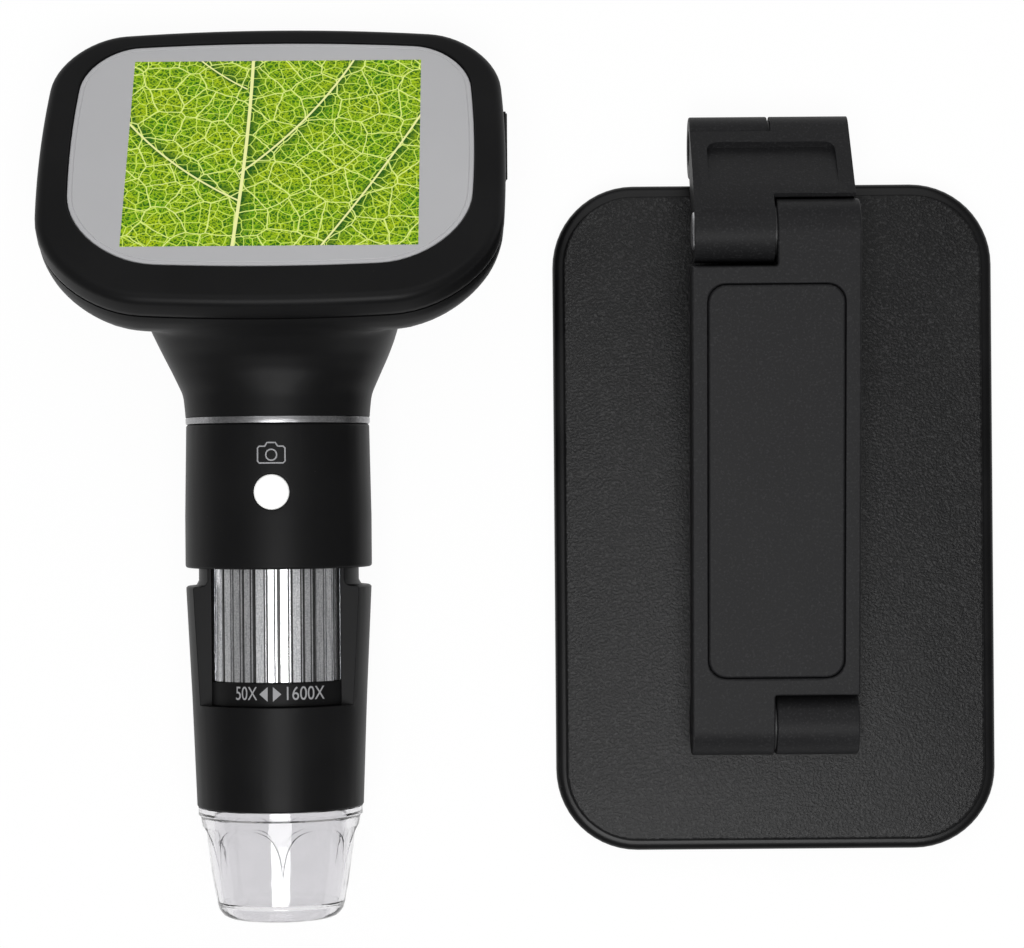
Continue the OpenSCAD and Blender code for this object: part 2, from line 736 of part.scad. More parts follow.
// Hinge pin that reaches so far to the left and has a domed head in the right end of knuckles of width w
module pin(reach, w) {
    seat = w / 2 - 0.9;
    rotate([0, 90, 0]) {
        translate([0, 0, -reach]) cylinder(r = pin_r, h = reach + seat + 0.1);
        translate([0, 0, seat]) rotate_extrude() polygon([
            [0, 0], [pin_head[0], 0], [pin_head[0], pin_head[1] - 0.4],
            [pin_head[0] - 0.5, pin_head[1] - 0.1], [0, pin_head[1]]
        ]);
    }
}

// Friction washer between two facing knuckles
module washer() {
    rotate([0, 90, 0]) translate([0, 0, -0.15]) tube(4.8, pin_r + 0.05, 0.3);
}

module base_pin() {
    color("#8d8f93") on_stand() translate([arm_x, base_y, base_axis_z])
        pin(arm_w / 2 - 1, arm_w);
}

module base_washer() {
    color("#2b2b2e") on_stand() translate([arm_x, base_y, base_axis_z]) washer();
}

// ---------------------------------------------------------------- folding arm and link

// Side outline of a bar with a round knuckle at each end, its top flush with both
function bar_outline(length, r, thickness) =
    let (low = r - thickness, turn = asin(low / r))
    concat(arc([0, 0], r, 90, 360 + turn, 24), arc([length, 0], r, 180 - turn, 450, 24));

module bar(w, length, thickness) {
    translate([-w / 2, 0, 0]) rotate([90, 0, 90]) linear_extrude(height = w)
        polygon(bar_outline(length, knuckle_r, thickness));
}

// Room for the facing knuckle: side is 1 for the right half, -1 for the left
module knuckle_room(w, side) {
    reach = knuckle_r + 0.4;
    translate([side > 0 ? -half_gap : -w, -knuckle_r - over, -knuckle_r - over])
        cube([w + half_gap, reach + knuckle_r + over, 2 * (knuckle_r + over)]);
}

module stand_arm() {
    color("#2a2a2c") on_arm() difference() {
        bar(arm_w, arm_len, arm_t);
        knuckle_room(arm_w, 1);
        translate([0, arm_len, 0]) mirror([0, 1, 0]) knuckle_room(arm_w, -1);
        pin_bore(arm_w);
        translate([0, arm_len, 0]) pin_bore(arm_w);
        translate([0, arm_len / 2, knuckle_r - panel.z - 0.05]) linear_extrude(height = 3)
            polygon(pillow(panel.x + 2 * gap, panel.y + 2 * gap, [3.4, 3.4], [0.01, 0.01], 6));
        for (i = [0:3], side = [-0.5, 0.5]) translate([
            side * pocket_pitch.x - pocket.x / 2, 12 + i * pocket_pitch.y, knuckle_r - arm_t - over
        ]) cube([pocket.x, pocket.y, arm_t - panel.z - 1.6]);
    }
}

module arm_panel() {
    color("#303032") on_arm() translate([0, arm_len / 2, knuckle_r - panel.z]) skin([
        at_height(pillow(panel.x, panel.y, [3.3, 3.3], [0.01, 0.01], 6), 0),
        at_height(pillow(panel.x, panel.y, [3.3, 3.3], [0.01, 0.01], 6), panel.z - 0.25),
        at_height(pillow(panel.x - 0.5, panel.y - 0.5, [3.1, 3.1], [0.01, 0.01], 6), panel.z)
    ]);
}

module arm_pin() {
    color("#8d8f93") on_arm() translate([0, arm_len, 0]) mirror([1, 0, 0]) pin(arm_w / 2 - 0.3, link_w);
}

module arm_washer() {
    color("#2b2b2e") on_arm() translate([0, arm_len, 0]) washer();
}

module stand_link() {
    recess = [6.5, link_len - 4.6];   // where the sloping recess in the top starts and ends
    recess_w = 23.4;
    recess_depth = 1.4;
    edge = 3.8;                       // from the arm's hinge to the link's edge over the arm's knuckle
    color("#2a2a2c") on_link() difference() {
        bar(link_w, link_len, arm_t);
        intersection() {
            knuckle_room(arm_w, 1);
            union() {
                rotate([0, 90, 0]) cylinder(r = knuckle_r + 0.4, h = link_w + 2, center = true);
                translate([-link_w, -knuckle_r - 2 * over, -2 * knuckle_r])
                    cube([2 * link_w, knuckle_r + 2 * over + edge, 4 * knuckle_r]);
            }
        }
        translate([0, link_len, 0]) {
            translate([-link_w, 0, 0]) rotate([0, 90, 0])
                cylinder(r = knuckle_r + 0.25, h = link_w + half_gap);
            translate([-link_w, 0, -2 * knuckle_r]) cube([link_w + half_gap, 2 * knuckle_r, 4 * knuckle_r]);
        }
        pin_bore(arm_w);
        mirror([1, 0, 0]) pin_sinking(link_w);
        translate([0, link_len, 0]) {
            pin_bore(arm_w);
            pin_sinking(link_w);
        }
        intersection() {
            translate([-recess_w / 2, 0, knuckle_r]) rotate([90, 0, 90]) linear_extrude(height = recess_w)
                polygon([[recess[0], 0], [recess[1], -recess_depth], [recess[1], 1], [recess[0], 1]]);
            translate([0, recess[1] - 10, 0]) linear_extrude(height = 2 * knuckle_r)
                polygon(pillow(recess_w, 20, [2.2, 2.2], [0.01, 0.01], 4));
        }
    }
}

module link_pin() {
    color("#8d8f93") on_link() translate([0, link_len, 0]) pin(6.4, link_w);
}

module link_washer() {
    color("#2b2b2e") on_link() translate([0, link_len, 0]) washer();
}

// Small barrel at the end of the link, with a threaded hole in its outer end for a holder
module end_swivel() {
    color("#2a2a2c") on_link() translate([-link_w / 2, link_len, 0]) rotate([0, 90, 0]) difference() {
        cylinder(r = knuckle_r, h = link_w / 2 - half_gap);
        translate([0, 0, -over]) cylinder(r = thread_r, h = thread_len + over);
        translate([0, 0, thread_len - over]) cylinder(r = pin_r + 0.03, h = 10);
    }
}

front_shell();
rear_shell();
screen_glass();
lcd_panel();
main_board();
battery();
usb_socket();
card_socket();
case_screws();
trim_ring();
upper_housing();
sensor_board();
image_sensor();
button_board();
tact_switch();
ribbon_cable();
lower_shell();
scale_band();
guide_tube();
key_switches();
led_board();
leds();
light_diffuser();
focus_wheel();
lens_carriage();
objective_lens();
snapshot_button();
power_button();
mode_button();
clear_hood();
base_shell();
base_cover();
ballast_plate();
rubber_feet();
base_screws();
hinge_bracket();
bracket_screws();
base_pin();
base_washer();
stand_arm();
arm_panel();
arm_pin();
arm_washer();
stand_link();
link_pin();
link_washer();
end_swivel();
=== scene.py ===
"""Looks of a handheld LCD digital microscope and its folding stand, dressed round the packed CAD frame.

Pieces are modelled in millimetres, at their place in the frame of the row, and scaled to metres when they are
finished. Finishes are procedural and read object coordinates.
"""

import json
import logging
import math
from collections.abc import Callable, Sequence
from dataclasses import dataclass
from enum import Enum

import bmesh
import bpy
from bpy.types import ID, Material, NodeSocket, Object, World
from mathutils import Matrix, Vector


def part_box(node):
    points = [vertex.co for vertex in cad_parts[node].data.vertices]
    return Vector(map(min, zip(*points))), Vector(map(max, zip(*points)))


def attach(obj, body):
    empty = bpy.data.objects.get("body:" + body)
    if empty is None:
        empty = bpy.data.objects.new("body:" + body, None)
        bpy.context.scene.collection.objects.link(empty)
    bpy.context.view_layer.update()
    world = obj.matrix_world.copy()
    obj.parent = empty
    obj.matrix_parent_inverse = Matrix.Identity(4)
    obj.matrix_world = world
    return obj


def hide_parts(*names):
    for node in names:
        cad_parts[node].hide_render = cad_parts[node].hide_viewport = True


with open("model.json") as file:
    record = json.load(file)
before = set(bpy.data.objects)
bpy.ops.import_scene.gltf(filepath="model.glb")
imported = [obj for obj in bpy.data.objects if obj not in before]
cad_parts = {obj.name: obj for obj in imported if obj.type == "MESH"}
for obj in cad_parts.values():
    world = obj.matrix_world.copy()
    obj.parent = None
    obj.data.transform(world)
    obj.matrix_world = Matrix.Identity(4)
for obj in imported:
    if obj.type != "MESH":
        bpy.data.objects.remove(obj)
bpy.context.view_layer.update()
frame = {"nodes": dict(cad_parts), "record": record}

MM = 0.001
SAME_PLACE = 1e-3    # CAD vertices closer than this, in millimetres, are one
SAME_FACE = 0.4      # CAD triangles flatter than this, in degrees, are one face
LOG = logging.getLogger("microscope")

Colour = tuple[float, float, float]
WHITE: Colour = (1.0, 1.0, 1.0)
Point = tuple[float, float]
Triple = tuple[float, float, float]
Ring = list[Vector]


# ---------------------------------------------------------------- shader kit


def _operator(operation: str, meaning: str, turned: bool = False) -> Callable[..., "Value"]:
    """Makes the method of Value that adds one kind of Math node.

    Args:
        operation: the node's operation.
        meaning: the method's docstring.
        turned: whether the value itself is the node's last input.

    Returns:
        The method.
    """

    def method(self: "Value", *others: "Value | float") -> "Value":
        """Adds the node."""
        terms = (*others, self) if turned else (self, *others)
        return self.shader.add("ShaderNodeMath", dict(enumerate(terms)), operation=operation)

    method.__doc__ = meaning
    return method


class Value:
    """A number that flows between shader nodes and takes Python arithmetic."""

    __add__ = _operator("ADD", "Sum.")
    __radd__ = _operator("ADD", "Sum with a number on the left.", True)
    __sub__ = _operator("SUBTRACT", "Difference.")
    __rsub__ = _operator("SUBTRACT", "Difference from a number on the left.", True)
    __mul__ = _operator("MULTIPLY", "Product.")
    __rmul__ = _operator("MULTIPLY", "Product with a number on the left.", True)
    __pow__ = _operator("POWER", "Power.")
    __abs__ = _operator("ABSOLUTE", "Distance from zero.")
    __gt__ = _operator("GREATER_THAN", "1 where this is the greater.")
    __lt__ = _operator("LESS_THAN", "1 where this is the smaller.")
    root = _operator("SQRT", "Square root.")
    least = _operator("MINIMUM", "The smaller of the two.")
    most = _operator("MAXIMUM", "The greater of the two.")

    def __init__(self, shader: "Shader", socket: NodeSocket | None) -> None:
        """Wraps an output socket of a shader's node."""
        self.shader = shader
        self.socket = socket

    def fade(self, start: float, end: float) -> "Value":
        """Runs smoothly from 0 at start to 1 at end; start may be the greater."""
        low, high = min(start, end), max(start, end)
        first, last = (0.0, 1.0) if start < end else (1.0, 0.0)
        sockets = {"Value": self, "From Min": low, "From Max": high, "To Min": first, "To Max": last}
        return self.shader.add("ShaderNodeMapRange", sockets, interpolation_type="SMOOTHSTEP")


class Shader:
    """The nodes of a material or a world."""

    def __init__(self, owner: Material | World) -> None:
        """Empties the owner's node tree."""
        owner.use_nodes = True
        self.tree = owner.node_tree
        self.tree.nodes.clear()

    def add(
        self,
        kind: str,
        sockets: dict[int | str, object] | None = None,
        output: int | str = 0,
        **settings: object,
    ) -> Value:
        """Adds a node.

        Args:
            kind: the node's type.
            sockets: input name or index to a number, colour or Value.
            output: name or index of the output that is wanted.
            settings: the node's properties, set first.

        Returns:
            That output.
        """
        node = self.tree.nodes.new(kind)
        for key, value in settings.items():
            setattr(node, key, value)
        for key, value in (sockets or {}).items():
            if isinstance(value, Value):
                self.tree.links.new(value.socket, node.inputs[key])
            elif isinstance(value, tuple) and node.inputs[key].type == "RGBA":
                node.inputs[key].default_value = (*value, 1.0)
            else:
                node.inputs[key].default_value = value
        return Value(self, node.outputs[output] if node.outputs else None)

    def place(self) -> Value:
        """Object coordinates, in metres in the frame of the row."""
        return self.add("ShaderNodeTexCoord", output="Object")

    def local(self, origin: Vector | None = None, turn: float = 0.0, scale: Triple = (1, 1, 1)) -> Value:
        """Millimetres in a frame of its own.

        Args:
            origin: the frame's origin in millimetres; the row's own where it is left out.
            turn: the frame's turn about X, in degrees.
            scale: how much longer a pattern gets along each axis.

        Returns:
            The coordinates as a vector.
        """
        sockets = {
            "Vector": self.place(),
            "Location": (origin or Vector()) * MM,
            "Rotation": (math.radians(turn), 0, 0),
            "Scale": tuple(MM * part for part in scale),
        }
        return self.add("ShaderNodeMapping", sockets, vector_type="TEXTURE")

    def axes(self, vector: Value) -> tuple[Value, Value, Value]:
        """The three parts of a vector."""
        first = self.add("ShaderNodeSeparateXYZ", {"Vector": vector}, "X")
        node = first.socket.node
        return first, Value(self, node.outputs["Y"]), Value(self, node.outputs["Z"])

    def noise(self, vector: Value, size: float, detail: float = 2.0, roughness: float = 0.5) -> Value:
        """Smooth noise from 0 to 1 whose lumps are about size long, in the vector's units."""
        sockets = {"Vector": vector, "Scale": 1 / size, "Detail": detail, "Roughness": roughness}
        return self.add("ShaderNodeTexNoise", sockets)

    def cells(
        self, vector: Value, size: float, feature: str = "F1", flat: bool = False, chance: float = 1.0
    ) -> Value:
        """Distances in a pattern of cells.

        Args:
            vector: where the pattern is read.
            size: width of a cell, in the vector's units.
            feature: what the distance is from: a cell's middle or its edge.
            flat: whether depth is ignored.
            chance: how far the cells stray from a square grid, from 0 to 1.

        Returns:
            The distance, in cell widths.
        """
        sockets = {"Vector": vector, "Scale": 1 / size, "Randomness": chance}
        settings = {"voronoi_dimensions": "2D" if flat else "3D", "feature": feature}
        return self.add("ShaderNodeTexVoronoi", sockets, "Distance", **settings)

    def mix(self, factor: Value | float, first: Value | Colour, second: Value | Colour) -> Value:
        """Blend of two colours: the first at 0, the second at 1."""
        return self.add("ShaderNodeMix", {"Factor": factor, 6: first, 7: second}, 2, data_type="RGBA")

    def bump(self, height: Value, depth: float) -> Value:
        """Relief of depth millimetres."""
        return self.add("ShaderNodeBump", {"Height": height, "Distance": depth * MM, "Strength": 1.0})

    def rays(self, *kinds: str) -> Value:
        """1 for rays of these kinds and 0 for all others."""
        outputs = self.add("ShaderNodeLightPath").socket.node.outputs
        first, *others = (Value(self, outputs[f"Is {kind} Ray"]) for kind in kinds)
        for other in others:
            first = first.most(other)
        return first

    def close(self, shaded: Value, owner: str = "Material") -> None:
        """Joins a finished surface to the output of the material or world."""
        self.add(f"ShaderNodeOutput{owner}", {"Surface": shaded})


# ---------------------------------------------------------------- finishes


@dataclass(frozen=True)
class Finish:
    """A kind of surface, with the name of its material."""

    name: str

    def make(self) -> Material:
        """Builds the material."""
        material = bpy.data.materials.new(self.name)
        shader = Shader(material)
        shader.close(shader.add("ShaderNodeBsdfPrincipled", self.inputs(shader)))
        return material

    def inputs(self, shader: Shader) -> dict[str, object]:
        """What goes into the Principled surface; each finish has its own."""
        raise NotImplementedError


class Grain(Enum):
    """A mould's surface: lump size and relief depth in millimetres, share and paleness of specks."""

    POLISHED = (0.9, 0.002, 0.0, 0.01)
    SATIN = (0.22, 0.006, 0.05, 0.01)
    FINE = (0.42, 0.03, 1.0, 0.008)
    COARSE = (0.45, 0.12, 1.0, 0.025)


@dataclass(frozen=True)
class MouldedPlastic(Finish):
    """Injection-moulded plastic with the grain of its mould, faint flow marks and a little dust.

    Attributes:
        gloss: its specular level.
        face: height in millimetres of the only face that has the grain, if not all over.
        flow_size: length of the flow marks, in millimetres.
        dust_size: distance between specks of dust, in millimetres.
    """

    colour: Colour
    grain: Grain
    roughness: float
    gloss: float = 0.4
    face: float | None = None
    flow_size: float = 14.0
    dust_size: float = 2.6
    dust: Colour = (0.2, 0.2, 0.21)

    def inputs(self, shader: Shader) -> dict[str, object]:
        """The finish's own inputs."""
        size, depth, specks, paler = self.grain.value
        place = shader.place()
        grit = shader.noise(place, size * MM, 3.0, 0.6)
        if self.face is not None:
            _, _, height = shader.axes(shader.local())
            grit = grit * height.fade(self.face - 0.17, self.face - 0.02)
        flow = shader.noise(place, self.flow_size * MM, 3.0)
        dusty = shader.cells(place, self.dust_size * MM).fade(0.03, 0.012) * 0.25
        pale = (grit.fade(0.5, 0.74) * specks + flow.fade(0.3, 0.75) * 0.12).least(1.0)
        tint = tuple(min(1.0, 1.5 * part + paler) for part in self.colour)
        return {
            "Base Color": shader.mix(dusty, shader.mix(pale, self.colour, tint), self.dust),
            "Roughness": flow * 0.12 + grit * 0.08 + (self.roughness - 0.1),
            "Specular IOR Level": self.gloss,
            "Normal": shader.bump(grit, depth),
        }


@dataclass(frozen=True)
class Metal(Finish):
    """Plated or brushed metal with fine lines along X and a few dull patches.

    Attributes:
        line: width of the lines, in millimetres.
        depth: their depth, in millimetres.
        reach: how many times longer than wide they are.
        patch_size: size of the patches, in millimetres.
    """

    colour: Colour
    roughness: float
    line: float = 0.12
    depth: float = 0.004
    reach: float = 40.0
    patch_size: float = 6.0

    def inputs(self, shader: Shader) -> dict[str, object]:
        """The finish's own inputs."""
        lines = shader.noise(shader.local(scale=(self.reach, 1.0, 1.0)), self.line, 3.0)
        patches = shader.noise(shader.place(), self.patch_size * MM, 4.0)
        worn = (patches.fade(0.35, 0.7) + lines.fade(0.35, 0.65)) * 0.5
        return {
            "Base Color": shader.mix(worn, self.colour, tuple(0.55 * part for part in self.colour)),
            "Metallic": 1.0,
            "Roughness": patches * 0.16 + lines * 0.1 + (self.roughness - 0.12),
            "Normal": shader.bump(lines, self.depth),
        }


@dataclass(frozen=True)
class RibbedMetal(Finish):
    """Bright ribs over black grooves, told apart by their distance from the barrel's axis.

    Attributes:
        axis: a point on the axis, in millimetres.
        rib_r: radius to the ribs' tops.
        groove: depth of the grooves.
        bright: colour of the ribs.
        dull: colour of their nicks and lines.
        soot: colour of the grooves.
    """

    axis: Vector
    rib_r: float
    groove: float = 0.45
    bright: Colour = (0.93, 0.93, 0.94)
    dull: Colour = (0.55, 0.56, 0.58)
    painted_groove_shade: Colour = (0.006, 0.006, 0.006)

    def inputs(self, shader: Shader) -> dict[str, object]:
        """The finish's own inputs."""
        here = shader.local(self.axis)
        x, _, z = shader.axes(here)
        nicks = shader.noise(here, 0.3, 3.0, 0.7)
        lines = shader.noise(shader.local(self.axis, scale=(1, 26, 1)), 0.16, 2.0)
        height = (x * x + z * z).root() + (nicks - 0.5) * 0.12
        top = height.fade(self.rib_r - 0.8 * self.groove, self.rib_r - 0.3 * self.groove)
        metal = shader.mix((lines + nicks).fade(0.8, 1.25), self.bright, self.dull)
        return {
            # Painted shade: below the ribs' tops the grooves get a near-black colour and no metal, standing
            # in for their shadow.
            "Base Color": shader.mix(top, self.painted_groove_shade, metal),
            "Metallic": top,
            "Roughness": lines * 0.1 + 0.24,
            "Normal": shader.bump(nicks, 0.01),
        }


@dataclass(frozen=True)
class ClearPlastic(Finish):
    """Clear moulded plastic or glass with faint flow lines and scuffs, whose sizes are in millimetres."""

    colour: Colour
    roughness: float = 0.04
    index: float = 1.49
    flow_size: float = 5.0
    scuff_size: float = 0.6

    def inputs(self, shader: Shader) -> dict[str, object]:
        """The finish's own inputs."""
        flow = shader.noise(shader.place(), self.flow_size * MM, 2.0)
        scuff = shader.noise(shader.place(), self.scuff_size * MM, 4.0)
        deeper = tuple(0.95 * part for part in self.colour)
        return {
            "Base Color": shader.mix(flow.fade(0.4, 0.7) * 0.5, self.colour, deeper),
            "Roughness": scuff.fade(0.55, 0.8) * 0.12 + self.roughness,
            "Transmission Weight": 1.0,
            "IOR": self.index,
            "Normal": shader.bump(flow, 0.05),
        }


@dataclass(frozen=True)
class Vein:
    """A main vein of the leaf on the screen: ends, sideways bow and half width, in millimetres."""

    start: Point
    end: Point
    bow: float
    half: float

    def near(self, u: Value, v: Value) -> tuple[Value, Value]:
        """Where a point lies beside the vein.

        Args:
            u: place across the screen.
            v: place up the screen.

        Returns:
            The signed distance to the vein's right, and 1 beside the vein and 0 past its ends.
        """
        across, up = self.end[0] - self.start[0], self.end[1] - self.start[1]
        length = math.hypot(across, up)
        right, ahead = u - self.start[0], v - self.start[1]
        along = (right * (across / length) + ahead * (up / length)) * (1 / length)
        side = right * (up / length) - ahead * (across / length)
        return side - along * (1 - along) * (4 * self.bow), (along > 0.0) * (along < 1.0)


@dataclass(frozen=True)
class Net:
    """A net of fine veins.

    Attributes:
        size: width of its cells, in millimetres.
        half: half width of its lines, in cell widths.
        strength: how far the lines cover what is under them.
    """

    size: float
    half: float
    strength: float
    tint: Colour

    def over(self, shader: Shader, here: Value, under: Value) -> Value:
        """Draws the net over a colour, at a place on the leaf."""
        edge = shader.cells(here, self.size, "DISTANCE_TO_EDGE", True)
        return shader.mix(edge.fade(self.half * 1.4, self.half * 0.5) * self.strength, under, self.tint)


class Leaf(Enum):
    """Colours of the leaf on the screen."""

    DEEP = (0.13, 0.37, 0.001)
    LIGHT = (0.42, 0.55, 0.002)
    CRUMB = (0.017, 0.105, 0.0003)
    SHADE = (0.004, 0.075, 0.003)
    VEIN = (0.84, 0.86, 0.36)


@dataclass(frozen=True)
class LeafScreen(Finish):
    """Grey screen window with a lit picture of leaf veins.

    Attributes:
        origin: middle of the window's face, in millimetres.
        turn: the face's turn about X, in degrees.
        centre: middle of the picture on the face.
        half_size: half its width and height.
        veins: the main veins.
        crumb_net: the finest net, under the main veins' shade.
        nets: the coarser nets, over it.
        greys: darkest and palest grey of the border.
        unlit: colour of the window where the picture shines.
    """

    origin: Vector
    turn: float
    centre: Point = (0.3, 2.15)
    half_size: Point = (26.15, 22.05)
    veins: tuple[Vein, ...] = (
        Vein((-6.2, -20.4), (-4.2, 25.0), 0.5, 0.28),
        Vein((-5.4, -9.5), (-27.0, 10.5), -1.6, 0.17),
        Vein((-5.0, 17.2), (-14.5, 25.2), -0.4, 0.14),
        Vein((-5.7, -3.2), (14.6, 25.2), 1.7, 0.18),
        Vein((9.0, -20.6), (27.2, 12.0), 0.5, 0.17),
    )
    crumb_net: Net = Net(0.95, 0.085, 0.7, (0.4, 0.58, 0.012))
    nets: tuple[Net, ...] = (
        Net(2.3, 0.042, 0.8, (0.66, 0.84, 0.13)), Net(5.6, 0.021, 0.9, (0.76, 0.89, 0.25)),
    )
    greys: tuple[Colour, Colour] = ((0.434, 0.434, 0.444), (0.478, 0.478, 0.49))
    unlit: Colour = (0.002, 0.0025, 0.002)

    def inputs(self, shader: Shader) -> dict[str, object]:
        """The finish's own inputs."""
        here = shader.local(self.origin, self.turn)
        u, v, _ = shader.axes(here)
        inside = (abs(u - self.centre[0]) < self.half_size[0]) * (abs(v - self.centre[1]) < self.half_size[1])
        film = shader.noise(shader.place(), 30 * MM, 3.0)
        return {
            "Base Color": shader.mix(inside, shader.mix(film, *self.greys), self.unlit),
            "Roughness": film * 0.08 + 0.3,
            "Specular IOR Level": 0.18,
            "Emission Color": shader.mix(inside, (0.0, 0.0, 0.0), self._picture(shader, here, u, v)),
            "Emission Strength": 1.0,
        }

    def _picture(self, shader: Shader, here: Value, u: Value, v: Value) -> Value:
        """Leaf tissue under three orders of net veins and the main veins.

        Args:
            shader: the shader that gets the nodes.
            here: place in the screen's frame, in millimetres.
            u: place across the screen.
            v: place up the screen.

        Returns:
            The picture's colour.
        """
        wander = shader.add("ShaderNodeTexNoise", {"Vector": here, "Scale": 0.3, "Detail": 2.0}, "Color")
        shift = shader.add("ShaderNodeVectorMath", {0: wander, "Scale": 1.1}, operation="SCALE")
        bent = shader.add("ShaderNodeVectorMath", {0: here, 1: shift}, operation="ADD")
        patch = shader.noise(here, 8.0, 3.0).fade(0.3, 0.7)
        crumb = shader.noise(here, 0.42, 2.0, 0.6).fade(0.38, 0.58)
        colour = shader.mix(patch, Leaf.DEEP.value, Leaf.LIGHT.value)
        colour = shader.mix(crumb * 0.95, colour, Leaf.CRUMB.value)
        colour = self.crumb_net.over(shader, bent, colour)
        for vein in self.veins:
            side, beside = vein.near(u, v)
            shade = (side.fade(3.6, 0.0) * side.fade(-1.3, 0.0)) ** 1.5 * beside
            colour = shader.mix(shade * 0.9, colour, Leaf.SHADE.value)
        for net in self.nets:
            colour = net.over(shader, bent, colour)
        for vein in self.veins:
            side, beside = vein.near(u, v)
            line = abs(side).fade(vein.half * 1.25, vein.half * 0.8) * beside
            colour = shader.mix(line, colour, Leaf.VEIN.value)
        return colour


@dataclass(frozen=True)
class CircuitBoard(Finish):
    """Green lacquer over copper tracks, with plated pads."""

    lacquer: Colour = (0.008, 0.11, 0.03)
    track: Colour = (0.02, 0.22, 0.07)
    pad: Colour = (0.62, 0.5, 0.22)

    def inputs(self, shader: Shader) -> dict[str, object]:
        """The finish's own inputs."""
        place = shader.place()
        tracks = shader.cells(place, 3.2 * MM, "DISTANCE_TO_EDGE", chance=0.3).fade(0.1, 0.05)
        pads = shader.cells(place, 2.2 * MM).fade(0.17, 0.13)
        return {
            "Base Color": shader.mix(pads, shader.mix(tracks, self.lacquer, self.track), self.pad),
            "Roughness": shader.noise(place, 3 * MM) * 0.15 + 0.3,
            "Normal": shader.bump(tracks, 0.03),
        }


@dataclass(frozen=True)
class SoftSheet(Finish):
    """Film, foil or rubber: one colour with creases, whose size and depth are in millimetres."""

    colour: Colour
    roughness: float
    metallic: float = 0.0
    crease: float = 3.0
    depth: float = 0.05

    def inputs(self, shader: Shader) -> dict[str, object]:
        """The finish's own inputs."""
        crease = shader.noise(shader.place(), self.crease * MM, 4.0)
        darker = tuple(0.78 * part for part in self.colour)
        return {
            "Base Color": shader.mix(crease.fade(0.35, 0.7), self.colour, darker),
            "Metallic": self.metallic,
            "Roughness": crease * 0.14 + (self.roughness - 0.07),
            "Normal": shader.bump(crease, self.depth),
        }


# ---------------------------------------------------------------- workbench


def enter(name: str, data: ID) -> Object:
    """Adds an object to the scene."""
    obj = bpy.data.objects.new(name, data)
    bpy.context.scene.collection.objects.link(obj)
    return obj


def take(obj: Object) -> None:
    """Makes an object the only selected one, in object mode."""
    if bpy.context.mode != "OBJECT":
        bpy.ops.object.mode_set(mode="OBJECT")
    bpy.ops.object.select_all(action="DESELECT")
    obj.select_set(True)
    bpy.context.view_layer.objects.active = obj


def edit(obj: Object) -> None:
    """Opens an object's mesh in edit mode, with all of it selected."""
    take(obj)
    bpy.ops.object.mode_set(mode="EDIT")
    bpy.ops.mesh.select_all(action="SELECT")


def apply(obj: Object, kind: str, **settings: object) -> None:
    """Adds a modifier of a kind with these settings and applies it."""
    take(obj)
    modifier = obj.modifiers.new(kind.title(), kind)
    for key, value in settings.items():
        setattr(modifier, key, value)
    bpy.ops.object.modifier_apply(modifier=modifier.name)


def smooth(obj: Object, angle: float = 32.0) -> None:
    """Shades smoothly over edges of less than angle degrees."""
    take(obj)
    bpy.ops.object.shade_smooth_by_angle(angle=math.radians(angle))


def cut(obj: Object, tools: Sequence[Object]) -> None:
    """Cuts away other solids, which are used up."""
    for tool in tools:
        apply(obj, "BOOLEAN", operation="DIFFERENCE", solver="EXACT", object=tool)
        bpy.data.objects.remove(tool)


